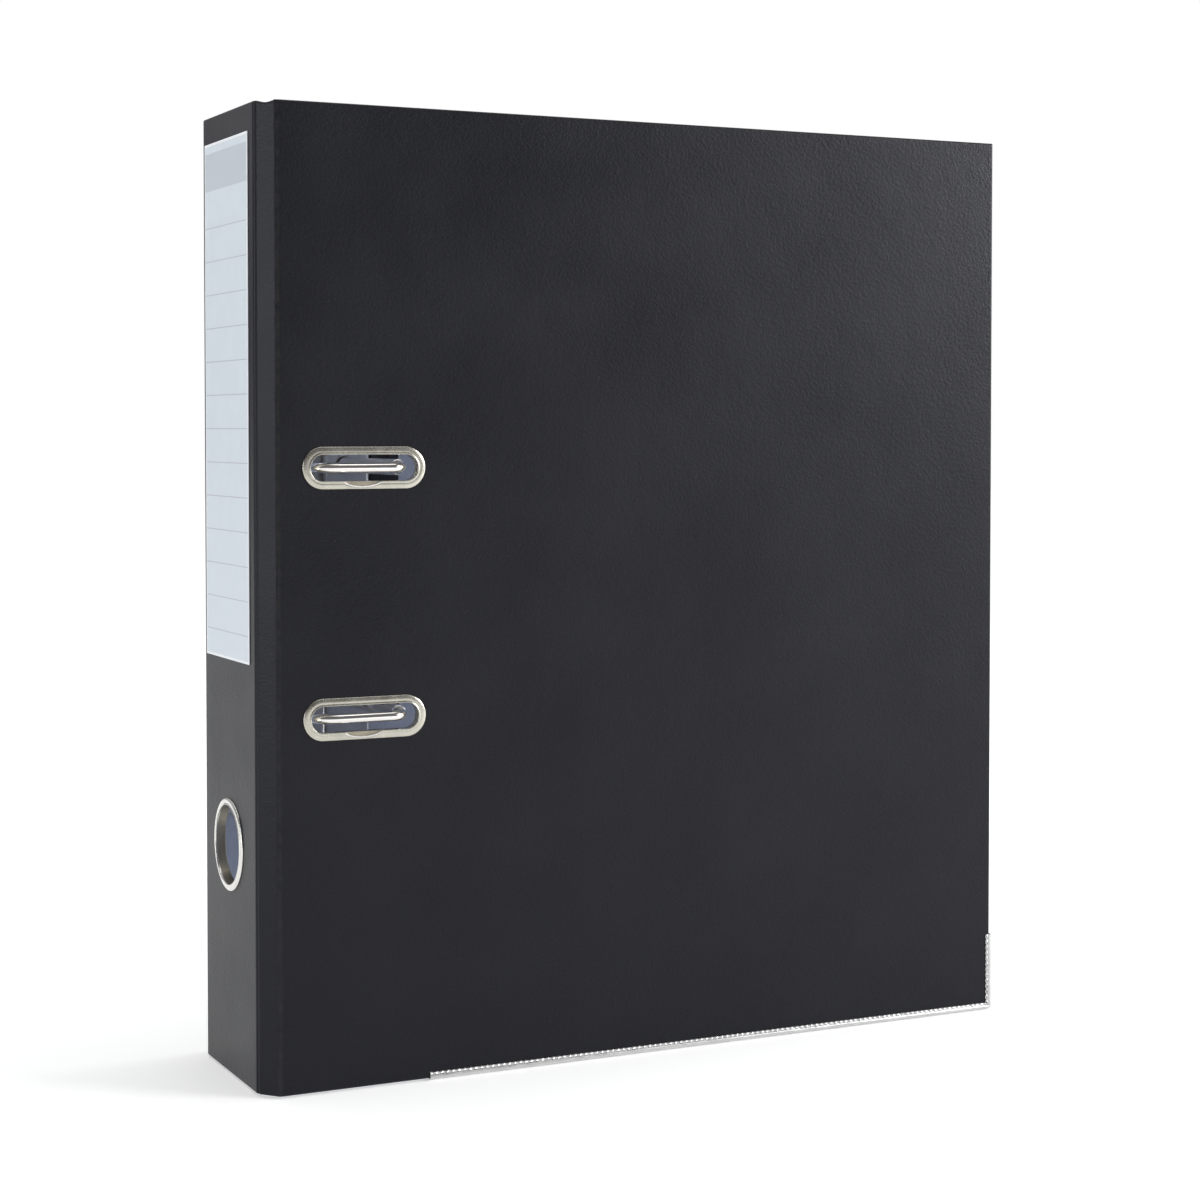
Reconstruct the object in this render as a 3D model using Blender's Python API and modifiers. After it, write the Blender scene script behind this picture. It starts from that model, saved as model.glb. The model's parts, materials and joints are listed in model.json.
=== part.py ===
"""
A lever arch file, closed and standing upright.

The case is five stiff panels in a row: front cover, front hinge strip, spine, back hinge strip
and back cover.  Each panel is board between a plastic-coated outer wrap and a paper liner, and
the panels fold at four creases on the outer surface.  The ring mechanism is riveted inside the
back cover, and its two arches reach through metal-rimmed slots in the front cover.

Every place below is measured from the case itself: x from the spine's outer face, y from the
front cover's outer face, z from the floor.  case_point() turns such a place into world metres,
where the origin is on the floor under the middle of the case.
"""
import math

import bmesh
import bpy
from mathutils import Matrix, Vector

# The case
CASE_HEIGHT = 0.315
CASE_WIDTH = 0.276
CASE_DEPTH = 0.068
CASE_LIFT = 0.0005          # the panels stand this far above the floor, on the edge shoes
CREASE_INSET_X = 0.0055     # from the spine's face to the crease on each cover
CREASE_INSET_Y = 0.0065     # from each cover's face to the crease on the spine
CREASE_GAP = 0.00015        # each panel ends this far short of its crease
WRAP_THICKNESS = 0.0003
BOARD_THICKNESS = 0.0017
LINER_THICKNESS = 0.0002
LAYER_GAP = 0.0001
PANEL_THICKNESS = WRAP_THICKNESS + BOARD_THICKNESS + LINER_THICKNESS + 2 * LAYER_GAP
PROUD = 0.0009              # rims, rivet heads and arches stand this far out of the case
FIT_GAP = 0.0003            # between pieces that touch

# Edge shoes
SHOE_START_X = 0.0564
SHOE_SIDE_HEIGHT = 0.0275
SHOE_FLANGE = 0.0026
SHOE_SHEET = 0.0004
SHOE_CORNER_RADIUS = 0.0015

# Slots, finger hole and label
RING_SPACING = 0.080
RING_MIDDLE_Z = 0.1595
SLOT_X = 0.0343
SLOT_LENGTH = 0.0363
SLOT_HEIGHT = 0.0084
RIM_WIDTH = 0.0026
RIM_SHEET = 0.0004
CLINCH_WIDTH = 0.0019
FINGER_Y = 0.0352
FINGER_Z = 0.0759
FINGER_RADIUS = 0.0130
FINGER_RIM_WIDTH = 0.0022
LABEL_Y = (0.0121, 0.0583)
LABEL_Z = (0.1368, 0.3061)
LABEL_THICKNESS = 0.0002

# Base plate
PLATE_X = (0.008, 0.0535)
PLATE_Z = (0.0795, 0.2395)
PLATE_SHEET = 0.001
PLATE_CORNER_RADIUS = 0.005
RIVET_X = (0.0125, 0.049)
RIVET_Z = (0.0855, 0.2335)
RIVET_RADIUS = 0.0016
RIVET_HEAD_RADIUS = 0.0036

# Arches and posts
WIRE_RADIUS = 0.0017
ARCH_RIGHT_X = 0.0487
ARCH_LEFT_X = 0.0182
ARCH_TOP_Y = WIRE_RADIUS - PROUD
ARCH_BEND = 0.008
ARCH_TIP_BEND = 0.0045
TIP_Y = 0.0068
TIP_GAP = 0.0004            # between an arch's tip and its post
POST_RADIUS = 0.0026
POST_FOOT_RADIUS = 0.0031
BAR_X = 0.015
BAR_Y = 0.0612
CRANK_REACH = 0.016
CRANK_Z = (0.1250, 0.1365)
CRANK_BEND = 0.0025
FOOT_BEND = 0.003
SADDLE_Z = {"lower": 0.1455, "upper": 0.1875}

# Lever
LEVER_X = (0.0260, 0.0360)
LEVER_SHEET = 0.001
LEVER_PIVOT_Y = 0.0465
LEVER_PIVOT_Z = 0.1425
LEVER_TOP_Y = 0.04235
LEVER_END_Z = 0.0750
NOSE_LENGTH = 0.01275
NOSE_ANGLE = math.radians(48.2)
ROLLER_RADIUS = 0.004
ROLLER_X = (0.0276, 0.0344)
PIVOT_PIN_RADIUS = 0.0015
ROLLER_PIN_RADIUS = 0.0011
PIN_CLEARANCE = 0.0003
EAR_SHEET = 0.0012

# Compressor
COMPRESSOR_X = (0.0420, 0.0574)
COMPRESSOR_Z = (0.0975, 0.2215)
COMPRESSOR_TOP_Y = 0.0584
COMPRESSOR_DEPTH = 0.0036
COMPRESSOR_SHEET = 0.0011
CATCH_PIN_X = 0.0598
CATCH_PIN_RADIUS = 0.0008
CATCH_LENGTH = 0.0085
CATCH_HALF_WIDTH = 0.0070
LUG_SHEET = 0.001

BACK_LINER_Y = CASE_DEPTH - PANEL_THICKNESS
PLATE_TOP_Y = BACK_LINER_Y - FIT_GAP - PLATE_SHEET
RING_HEIGHTS = {"upper": RING_MIDDLE_Z + RING_SPACING / 2, "lower": RING_MIDDLE_Z - RING_SPACING / 2}
NOSE_Y = LEVER_PIVOT_Y + NOSE_LENGTH * math.cos(NOSE_ANGLE)
NOSE_Z = LEVER_PIVOT_Z - NOSE_LENGTH * math.sin(NOSE_ANGLE)
CATCH_PIN_Y = COMPRESSOR_TOP_Y + COMPRESSOR_DEPTH / 2

ROUND_STEPS = 24
WELD_DISTANCE = 0.000002

# Rotations that lay a flat outline, drawn in its own X and Y, across each world axis
OUTLINE_FRAMES = {
    "X": Matrix(((0, 0, 1, 0), (1, 0, 0, 0), (0, 1, 0, 0), (0, 0, 0, 1))),
    "Y": Matrix.Rotation(math.radians(90), 4, "X"),
    "Z": Matrix.Identity(4),
}
# Rotations that point a turned piece's axis along each direction
TURN_ROTATIONS = {
    "+X": (0, math.radians(90), 0),
    "-Y": (math.radians(90), 0, 0),
    "+Z": (0, 0, 0),
}


# ---------------------------------------------------------------- scene and placing

def clear_scene():
    """Remove the objects that Blender starts with."""
    for obj in list(bpy.data.objects):
        bpy.data.objects.remove(obj, do_unlink=True)


def new_collection(name):
    """Make a collection in the scene."""
    collection = bpy.data.collections.new(name)
    bpy.context.scene.collection.children.link(collection)
    return collection


def case_point(x, y, z):
    """Turn a place measured from the case's faces into world metres."""
    return Vector((x - CASE_WIDTH / 2, y - CASE_DEPTH / 2, z))


def world_place(obj):
    """Where an unrotated empty stands, through its parents."""
    place = Vector((0, 0, 0))
    while obj is not None:
        place += obj.location
        obj = obj.parent
    return place


def new_pivot(name, place, parent=None):
    """Make an empty on a joint's axis, for the pieces that turn or slide there."""
    pivot = bpy.data.objects.new(name, None)
    pivot.empty_display_size = 0.01
    pivot.parent = parent
    pivot.location = place - world_place(parent)
    PARTS.objects.link(pivot)
    return pivot


def new_material(name, colour, roughness, metallic=0.0):
    """Make a Principled BSDF material."""
    material = bpy.data.materials.new(name)
    material.use_nodes = True
    shader = material.node_tree.nodes["Principled BSDF"]
    shader.inputs["Base Color"].default_value = (*colour, 1.0)
    shader.inputs["Roughness"].default_value = roughness
    shader.inputs["Metallic"].default_value = metallic
    return material


def shade(mesh):
    """Shade round faces smooth and keep the edges crisp."""
    mesh.shade_smooth()
    mesh.set_sharp_from_angle(angle=math.radians(35))


def add_part(name, mesh, material, pivot):
    """Link a mesh drawn in case places as a piece that hangs from its pivot."""
    mesh.name = name
    mesh.transform(Matrix.Translation(case_point(0, 0, 0) - world_place(pivot)))
    mesh.materials.clear()
    mesh.materials.append(material)
    shade(mesh)
    part = bpy.data.objects.new(name, mesh)
    part.parent = pivot
    PARTS.objects.link(part)
    return part


def add_helper(name, mesh):
    """Link a mesh drawn in case places as a cutter or a joined-on shape."""
    mesh.name = name
    mesh.transform(Matrix.Translation(case_point(0, 0, 0)))
    helper = bpy.data.objects.new(name, mesh)
    helper.hide_render = True
    helper.display_type = "WIRE"
    CUTTERS.objects.link(helper)
    return helper


def combine(part, helper, operation):
    """Cut a helper out of a part, or join it on."""
    modifier = part.modifiers.new(helper.name, "BOOLEAN")
    modifier.operation = operation
    modifier.object = helper


# ---------------------------------------------------------------- basic shapes

def arc(centre, radius, start_degrees, end_degrees, steps):
    """Points along an arc in a plane, both ends included."""
    points = []
    for step in range(steps + 1):
        angle = math.radians(start_degrees + (end_degrees - start_degrees) * step / steps)
        points.append((centre[0] + radius * math.cos(angle), centre[1] + radius * math.sin(angle)))
    return points


def stadium(centre, length, height, steps=8):
    """The outline of a slot with round ends, lying along the first direction."""
    radius = height / 2
    reach = length / 2 - radius
    right = arc((centre[0] + reach, centre[1]), radius, -90, 90, steps)
    left = arc((centre[0] - reach, centre[1]), radius, 90, 270, steps)
    return right + left


def rounded_rectangle(low, high, radius, steps=4):
    """The outline of a rectangle with round corners."""
    corners = (
        ((high[0] - radius, low[1] + radius), -90),
        ((high[0] - radius, high[1] - radius), 0),
        ((low[0] + radius, high[1] - radius), 90),
        ((low[0] + radius, low[1] + radius), 180),
    )
    points = []
    for centre, start in corners:
        points += arc(centre, radius, start, start + 90, steps)
    return points


def box_mesh(low, high):
    """A box between two corners."""
    low = Vector(low)
    high = Vector(high)
    bm = bmesh.new()
    place = Matrix.Translation((low + high) / 2)
    bmesh.ops.create_cube(bm, size=1.0, matrix=place @ Matrix.Diagonal((*(high - low), 1.0)))
    return mesh_from(bm)


def rod_mesh(start, end, radius, steps=ROUND_STEPS):
    """A round rod between two points."""
    start = Vector(start)
    end = Vector(end)
    turn = Vector((0, 0, 1)).rotation_difference(end - start).to_matrix().to_4x4()
    bm = bmesh.new()
    bmesh.ops.create_cone(
        bm, cap_ends=True, segments=steps, radius1=radius, radius2=radius,
        depth=(end - start).length, matrix=Matrix.Translation((start + end) / 2) @ turn)
    return mesh_from(bm)


def mesh_from(bm):
    """Turn a bmesh into a mesh with its faces pointing out."""
    bmesh.ops.recalc_face_normals(bm, faces=bm.faces)
    mesh = bpy.data.meshes.new("shape")
    bm.to_mesh(mesh)
    bm.free()
    return mesh


def poly_curve(name, points, dimensions, cyclic):
    """A curve object of one straight-sided spline."""
    curve = bpy.data.curves.new(name, "CURVE")
    curve.dimensions = dimensions
    spline = curve.splines.new("POLY")
    spline.points.add(len(points) - 1)
    for target, point in zip(spline.points, points):
        target.co = (*point, *(0.0,) * (3 - len(point)), 1.0)
    spline.use_cyclic_u = cyclic
    obj = bpy.data.objects.new(name, curve)
    CUTTERS.objects.link(obj)
    return obj


def curve_mesh(curve_object, frame=Matrix.Identity(4)):
    """Turn a curve object into a closed mesh, and remove the curve."""
    bpy.context.view_layer.update()
    evaluated = curve_object.evaluated_get(bpy.context.evaluated_depsgraph_get())
    raw = bpy.data.meshes.new_from_object(evaluated)
    raw.transform(frame)
    bpy.data.objects.remove(curve_object)
    bm = bmesh.new()
    bm.from_mesh(raw)
    bmesh.ops.remove_doubles(bm, verts=bm.verts, dist=WELD_DISTANCE)
    bpy.data.meshes.remove(raw)
    return mesh_from(bm)


def extruded_mesh(outline, axis, low, high):
    """A flat outline given thickness along X, Y or Z, from low to high."""
    flat = poly_curve("outline", outline, "2D", cyclic=True)
    flat.data.fill_mode = "BOTH"
    flat.data.extrude = (high - low) / 2
    across = {"X": (1, 0, 0), "Y": (0, 1, 0), "Z": (0, 0, 1)}[axis]
    shift = Matrix.Translation(Vector(across) * (low + high) / 2)
    return curve_mesh(flat, shift @ OUTLINE_FRAMES[axis])


def swept_mesh(path, profile, axis, place):
    """A closed profile carried round a closed flat path, which faces along an axis.

    A bevel section's own X points into the ring, so the profile is mirrored to point outwards.
    """
    section = poly_curve("section", [(-across, along) for across, along in profile], "2D", cyclic=True)
    section.data.fill_mode = "NONE"
    ring = poly_curve("ring", path, "2D", cyclic=True)
    ring.data.fill_mode = "NONE"
    ring.data.bevel_mode = "OBJECT"
    ring.data.bevel_object = section
    mesh = curve_mesh(ring, Matrix.Translation(place) @ OUTLINE_FRAMES[axis])
    bpy.data.objects.remove(section)
    return mesh


def add_turned(name, profile, place, axis, material, pivot, closed=False, steps=ROUND_STEPS):
    """A turned piece: a profile of (radius, height) pairs spun about its own axis."""
    bm = bmesh.new()
    verts = [bm.verts.new((radius, 0, height)) for radius, height in profile]
    for first, second in zip(verts, verts[1:]):
        bm.edges.new((first, second))
    if closed:
        bm.edges.new((verts[-1], verts[0]))
    mesh = bpy.data.meshes.new(name)
    bm.to_mesh(mesh)
    bm.free()
    mesh.materials.append(material)
    part = bpy.data.objects.new(name, mesh)
    part.parent = pivot
    part.location = case_point(*place) - world_place(pivot)
    part.rotation_euler = TURN_ROTATIONS[axis]
    PARTS.objects.link(part)
    screw = part.modifiers.new("turned", "SCREW")
    screw.steps = steps
    screw.render_steps = steps
    screw.use_merge_vertices = True
    screw.merge_threshold = 0.00001
    return part


def filleted_path(corners, bends, steps=5):
    """A path through corners, each rounded with its own bend radius."""
    points = [Vector(corners[0])]
    for index in range(1, len(corners) - 1):
        corner = Vector(corners[index])
        back = (Vector(corners[index - 1]) - corner).normalized()
        forward = (Vector(corners[index + 1]) - corner).normalized()
        half_angle = back.angle(forward) / 2
        radius = bends[index - 1]
        reach = radius / math.tan(half_angle)
        middle = corner + (back + forward).normalized() * radius / math.sin(half_angle)
        first = corner + back * reach - middle
        last = corner + forward * reach - middle
        turn = first.angle(last)
        for step in range(steps + 1):
            part = step / steps
            mixed = first * math.sin((1 - part) * turn) + last * math.sin(part * turn)
            points.append(middle + mixed / math.sin(turn))
    points.append(Vector(corners[-1]))
    return points


# ---------------------------------------------------------------- case

def case_outline():
    """The outer line of the case seen from above, from fore-edge to fore-edge."""
    return [
        Vector((CASE_WIDTH, 0)),
        Vector((CREASE_INSET_X, 0)),
        Vector((0, CREASE_INSET_Y)),
        Vector((0, CASE_DEPTH - CREASE_INSET_Y)),
        Vector((CREASE_INSET_X, CASE_DEPTH)),
        Vector((CASE_WIDTH, CASE_DEPTH)),
    ]


def mitre_slope(outline, index):
    """How fast a panel's end draws back with depth at a corner of the outline."""
    if index in (0, len(outline) - 1):
        return 0.0
    before = outline[index] - outline[index - 1]
    after = outline[index + 1] - outline[index]
    return math.tan(before.angle(after) / 2)


def panel_layer(panel, outer_depth, inner_depth):
    """One layer of a panel as a mesh, mitred where the panel meets its neighbours."""
    outline = case_outline()
    start = outline[panel]
    end = outline[panel + 1]
    along = (end - start).normalized()
    inward = Vector((along.y, -along.x))
    length = (end - start).length
    start_gap = 0.0 if panel == 0 else CREASE_GAP
    end_gap = 0.0 if panel == len(outline) - 2 else CREASE_GAP
    section = []
    for depth in (outer_depth, inner_depth):
        section.append((start_gap + depth * mitre_slope(outline, panel), depth))
    for depth in (inner_depth, outer_depth):
        section.append((length - end_gap - depth * mitre_slope(outline, panel + 1), depth))
    corners = [start + along * travel + inward * depth for travel, depth in section]
    return extruded_mesh([(c.x, c.y) for c in corners], "Z", CASE_LIFT, CASE_HEIGHT)


def add_panel(name, panel, pivot, cutters=()):
    """The wrap, board and liner of one panel, with the same holes through all three."""
    board_depth = WRAP_THICKNESS + LAYER_GAP
    liner_depth = board_depth + BOARD_THICKNESS + LAYER_GAP
    layers = (
        ("wrap", 0.0, WRAP_THICKNESS, MATERIALS["wrap"]),
        ("board", board_depth, board_depth + BOARD_THICKNESS, MATERIALS["board"]),
        ("liner", liner_depth, PANEL_THICKNESS, MATERIALS["liner"]),
    )
    for layer, outer_depth, inner_depth, material in layers:
        part = add_part(f"{name}_{layer}", panel_layer(panel, outer_depth, inner_depth), material, pivot)
        for cutter in cutters:
            combine(part, cutter, "DIFFERENCE")


def slot_cutters():
    """The two slots through the front cover, wide enough for the rims' barrels."""
    margin = RIM_SHEET + FIT_GAP
    cutters = []
    for level, height in RING_HEIGHTS.items():
        outline = stadium((SLOT_X, height), SLOT_LENGTH + 2 * margin, SLOT_HEIGHT + 2 * margin)
        mesh = extruded_mesh(outline, "Y", -0.002, 0.006)
        cutters.append(add_helper(f"slot_cutter_{level}", mesh))
    return cutters


def finger_hole_cutter():
    """The round hole through the spine."""
    radius = FINGER_RADIUS + RIM_SHEET + FIT_GAP
    mesh = rod_mesh((-0.002, FINGER_Y, FINGER_Z), (0.006, FINGER_Y, FINGER_Z), radius, 40)
    return add_helper("finger_hole_cutter", mesh)


def rivet_places():
    """The four rivets by name, with their x and z."""
    places = {}
    for column, x in zip(("inner", "outer"), RIVET_X):
        for row, z in zip(("lower", "upper"), RIVET_Z):
            places[f"{row}_{column}"] = (x, z)
    return places


def rivet_cutters():
    """The rivet holes through the back cover and the base plate."""
    cutters = []
    for name, (x, z) in rivet_places().items():
        mesh = rod_mesh((x, PLATE_TOP_Y - 0.001, z), (x, CASE_DEPTH + 0.001, z), RIVET_RADIUS + FIT_GAP, 16)
        cutters.append(add_helper(f"rivet_cutter_{name}", mesh))
    return cutters


def rim_profile(barrel_offset, width):
    """The section of a rolled rim: outer flange, barrel and inner clinch.

    The first number runs out from the opening's edge, the second outwards from the case.
    """
    near = -LAYER_GAP - PANEL_THICKNESS
    inside = barrel_offset
    wall = barrel_offset + RIM_SHEET
    flange = barrel_offset + width
    clinch = barrel_offset + CLINCH_WIDTH
    return [
        (inside, near - RIM_SHEET),
        (clinch, near - RIM_SHEET),
        (clinch, near),
        (wall, near),
        (wall, LAYER_GAP),
        (flange, LAYER_GAP),
        (flange, LAYER_GAP + 0.0002),
        (flange - 0.0004, PROUD - 0.0001),
        (flange - 0.0010, PROUD),
        (inside + 0.0004, PROUD),
        (inside, PROUD - 0.0003),
    ]


def add_slot_rims(pivot):
    """The oval metal rim of each slot."""
    path = stadium((0, 0), SLOT_LENGTH, SLOT_HEIGHT)
    for level, height in RING_HEIGHTS.items():
        mesh = swept_mesh(path, rim_profile(0.0, RIM_WIDTH), "Y", (SLOT_X, 0, height))
        add_part(f"slot_rim_{level}", mesh, MATERIALS["nickel"], pivot)


def add_finger_ring(pivot):
    """The round metal ring of the finger hole, turned about X."""
    profile = [(radius, -outward) for radius, outward in rim_profile(FINGER_RADIUS, FINGER_RIM_WIDTH)]
    place = (0, FINGER_Y, FINGER_Z)
    add_turned("finger_ring", profile, place, "+X", MATERIALS["nickel"], pivot, closed=True, steps=40)


def add_label(pivot):
    """The paper title label stuck on the spine."""
    low = (-LAYER_GAP - LABEL_THICKNESS, LABEL_Y[0], LABEL_Z[0])
    high = (-LAYER_GAP, LABEL_Y[1], LABEL_Z[1])
    add_part("spine_label", box_mesh(low, high), MATERIALS["label"], pivot)


def add_edge_shoe(name, front, pivot):
    """The metal channel on a cover's bottom edge and the foot of its fore-edge."""
    end = CASE_WIDTH + PROUD
    radius = SHOE_CORNER_RADIUS
    outline = [(SHOE_START_X, 0)]
    outline += arc((end - radius, radius), radius, -90, 0, 4)
    outline += [
        (end, SHOE_SIDE_HEIGHT),
        (CASE_WIDTH - SHOE_FLANGE + SHOE_SHEET, SHOE_SIDE_HEIGHT),
        (CASE_WIDTH - SHOE_FLANGE + SHOE_SHEET, SHOE_FLANGE),
        (SHOE_START_X, SHOE_FLANGE),
    ]
    low = -LAYER_GAP - SHOE_SHEET
    high = PANEL_THICKNESS + LAYER_GAP + SHOE_SHEET
    if not front:
        low, high = CASE_DEPTH - high, CASE_DEPTH - low
    shoe = add_part(name, extruded_mesh(outline, "Y", low, high), MATERIALS["steel"], pivot)
    channel = box_mesh(
        (SHOE_START_X - 0.01, low + SHOE_SHEET, CASE_LIFT - LAYER_GAP),
        (CASE_WIDTH + LAYER_GAP, high - SHOE_SHEET, SHOE_SIDE_HEIGHT + 0.01))
    combine(shoe, add_helper(f"{name}_channel", channel), "DIFFERENCE")


# ---------------------------------------------------------------- ring mechanism

def add_base_plate(pivot, rivet_holes):
    """The stamped plate with the bar's saddles and the lever's ears."""
    outline = rounded_rectangle(
        (PLATE_X[0], PLATE_Z[0]), (PLATE_X[1], PLATE_Z[1]), PLATE_CORNER_RADIUS)
    mesh = extruded_mesh(outline, "Y", PLATE_TOP_Y, PLATE_TOP_Y + PLATE_SHEET)
    plate = add_part("base_plate", mesh, MATERIALS["nickel"], pivot)
    for side, middle in SADDLE_Z.items():
        outline = [(BAR_X - 0.0045, PLATE_TOP_Y + 0.0003)]
        outline += arc((BAR_X, BAR_Y), 0.0033, 180, 360, 8)
        outline += [(BAR_X + 0.0045, PLATE_TOP_Y + 0.0003)]
        saddle = extruded_mesh(outline, "Z", middle - 0.004, middle + 0.004)
        combine(plate, add_helper(f"bar_saddle_{side}", saddle), "UNION")
    for side, low_x in (("inner", LEVER_X[0] - FIT_GAP * 2 - EAR_SHEET), ("outer", LEVER_X[1] + FIT_GAP * 2)):
        outline = [(PLATE_TOP_Y + 0.0003, LEVER_PIVOT_Z - 0.0041)]
        outline += [(PLATE_TOP_Y + 0.0003, LEVER_PIVOT_Z + 0.0065)]
        outline += arc((LEVER_PIVOT_Y, LEVER_PIVOT_Z), 0.0036, 60, 300, 8)
        ear = extruded_mesh(outline, "X", low_x, low_x + EAR_SHEET)
        combine(plate, add_helper(f"lever_ear_{side}", ear), "UNION")
    bar_hole = rod_mesh((BAR_X, BAR_Y, RING_MIDDLE_Z - 0.036), (BAR_X, BAR_Y, RING_MIDDLE_Z + 0.036),
                        WIRE_RADIUS + FIT_GAP, 16)
    combine(plate, add_helper("bar_hole", bar_hole), "DIFFERENCE")
    pin_hole = rod_mesh((LEVER_X[0] - 0.004, LEVER_PIVOT_Y, LEVER_PIVOT_Z),
                        (LEVER_X[1] + 0.004, LEVER_PIVOT_Y, LEVER_PIVOT_Z),
                        PIVOT_PIN_RADIUS + PIN_CLEARANCE, 16)
    combine(plate, add_helper("pivot_pin_hole", pin_hole), "DIFFERENCE")
    for cutter in rivet_holes:
        combine(plate, cutter, "DIFFERENCE")


def add_rivets(pivot):
    """The four rivets that hold the mechanism, with a head on each side."""
    outside = CASE_DEPTH + LAYER_GAP
    inside = PLATE_TOP_Y - FIT_GAP
    profile = [
        (0, 0.0009),
        (RIVET_HEAD_RADIUS * 0.5, 0.0009),
        (RIVET_HEAD_RADIUS * 0.86, 0.0005),
        (RIVET_HEAD_RADIUS * 0.86, 0),
        (RIVET_RADIUS, 0),
        (RIVET_RADIUS, inside - outside),
        (RIVET_HEAD_RADIUS, inside - outside),
        (RIVET_HEAD_RADIUS, inside - outside - 0.0004),
        (RIVET_HEAD_RADIUS * 0.7, inside - outside - PROUD + LAYER_GAP),
        (0, inside - outside - PROUD + LAYER_GAP),
    ]
    for name, (x, z) in rivet_places().items():
        add_turned(f"rivet_{name}", profile, (x, inside, z), "-Y", MATERIALS["nickel"], pivot, steps=16)


def add_posts(pivot):
    """The two fixed posts that the arches close on."""
    height = PLATE_TOP_Y - FIT_GAP - (TIP_Y + TIP_GAP)
    profile = [
        (0, height),
        (POST_RADIUS - 0.0006, height),
        (POST_RADIUS, height - 0.0012),
        (POST_RADIUS, 0.0016),
        (POST_FOOT_RADIUS, 0.0016),
        (POST_FOOT_RADIUS, 0),
        (0, 0),
    ]
    for level, z in RING_HEIGHTS.items():
        place = (ARCH_RIGHT_X, PLATE_TOP_Y - FIT_GAP, z)
        add_turned(f"post_{level}", profile, place, "-Y", MATERIALS["chrome"], pivot, steps=16)


def add_arch_wire(pivot):
    """Both arches, the bar they turn on and its crank, bent from one wire."""
    upper = RING_HEIGHTS["upper"]
    lower = RING_HEIGHTS["lower"]
    crank_x = BAR_X + CRANK_REACH
    corners = [
        (ARCH_RIGHT_X, TIP_Y, upper),
        (ARCH_RIGHT_X, ARCH_TOP_Y, upper),
        (ARCH_LEFT_X, ARCH_TOP_Y, upper),
        (BAR_X, BAR_Y, upper),
        (BAR_X, BAR_Y, CRANK_Z[1]),
        (crank_x, BAR_Y, CRANK_Z[1]),
        (crank_x, BAR_Y, CRANK_Z[0]),
        (BAR_X, BAR_Y, CRANK_Z[0]),
        (BAR_X, BAR_Y, lower),
        (ARCH_LEFT_X, ARCH_TOP_Y, lower),
        (ARCH_RIGHT_X, ARCH_TOP_Y, lower),
        (ARCH_RIGHT_X, TIP_Y, lower),
    ]
    foot_bends = [FOOT_BEND] + [CRANK_BEND] * 4 + [FOOT_BEND]
    bends = [ARCH_TIP_BEND, ARCH_BEND] + foot_bends + [ARCH_BEND, ARCH_TIP_BEND]
    wire = poly_curve("arch_path", filleted_path(corners, bends), "3D", cyclic=False)
    wire.data.bevel_depth = WIRE_RADIUS
    wire.data.bevel_resolution = 2
    wire.data.use_fill_caps = True
    add_part("arch_wire", curve_mesh(wire), MATERIALS["chrome"], pivot)


def add_lever_pivot_pin(pivot):
    """The headed pin that the lever turns on, through both ears."""
    reach = (LEVER_X[1] - LEVER_X[0]) / 2 + FIT_GAP * 3 + EAR_SHEET
    profile = [
        (0, reach + 0.0008),
        (0.0024, reach + 0.0005),
        (0.0024, reach),
        (PIVOT_PIN_RADIUS, reach),
        (PIVOT_PIN_RADIUS, -reach),
        (0.0024, -reach),
        (0.0024, -reach - 0.0005),
        (0, -reach - 0.0008),
    ]
    place = (sum(LEVER_X) / 2, LEVER_PIVOT_Y, LEVER_PIVOT_Z)
    add_turned("lever_pivot_pin", profile, place, "+X", MATERIALS["steel"], pivot, steps=16)


def add_lever_arm(pivot):
    """The pressed channel lever: long arm down, short nose in towards the crank."""
    skirt_y = LEVER_TOP_Y + 0.0066
    outline = [(LEVER_TOP_Y, LEVER_PIVOT_Z + 0.002)]
    outline += arc((LEVER_TOP_Y + 0.002, LEVER_END_Z + 0.002), 0.002, 180, 270, 3)
    outline += [
        (LEVER_TOP_Y + 0.0036, LEVER_END_Z),
        (LEVER_TOP_Y + 0.0040, LEVER_END_Z + 0.008),
        (skirt_y, LEVER_END_Z + 0.022),
        (skirt_y, NOSE_Z - 0.007),
    ]
    outline += arc((NOSE_Y, NOSE_Z), 0.0026, -95, 50, 6)
    outline += arc((LEVER_PIVOT_Y, LEVER_PIVOT_Z), 0.0040, 50, 130, 4)
    arm = add_part("lever_arm", extruded_mesh(outline, "X", *LEVER_X), MATERIALS["nickel"], pivot)
    hollow = box_mesh(
        (LEVER_X[0] + LEVER_SHEET, LEVER_TOP_Y + LEVER_SHEET, LEVER_END_Z + 0.012),
        (LEVER_X[1] - LEVER_SHEET, NOSE_Y + 0.010, LEVER_PIVOT_Z + 0.010))
    combine(arm, add_helper("lever_hollow", hollow), "DIFFERENCE")
    holes = (
        ("lever_pivot_hole", LEVER_PIVOT_Y, LEVER_PIVOT_Z, PIVOT_PIN_RADIUS),
        ("roller_pin_hole", NOSE_Y, NOSE_Z, ROLLER_PIN_RADIUS),
    )
    for name, y, z, radius in holes:
        hole = rod_mesh((LEVER_X[0] - 0.001, y, z), (LEVER_X[1] + 0.001, y, z), radius + PIN_CLEARANCE, 16)
        combine(arm, add_helper(name, hole), "DIFFERENCE")
    pin = rod_mesh((LEVER_X[0], NOSE_Y, NOSE_Z), (LEVER_X[1], NOSE_Y, NOSE_Z), ROLLER_PIN_RADIUS, 16)
    add_part("roller_pin", pin, MATERIALS["steel"], pivot)


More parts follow.
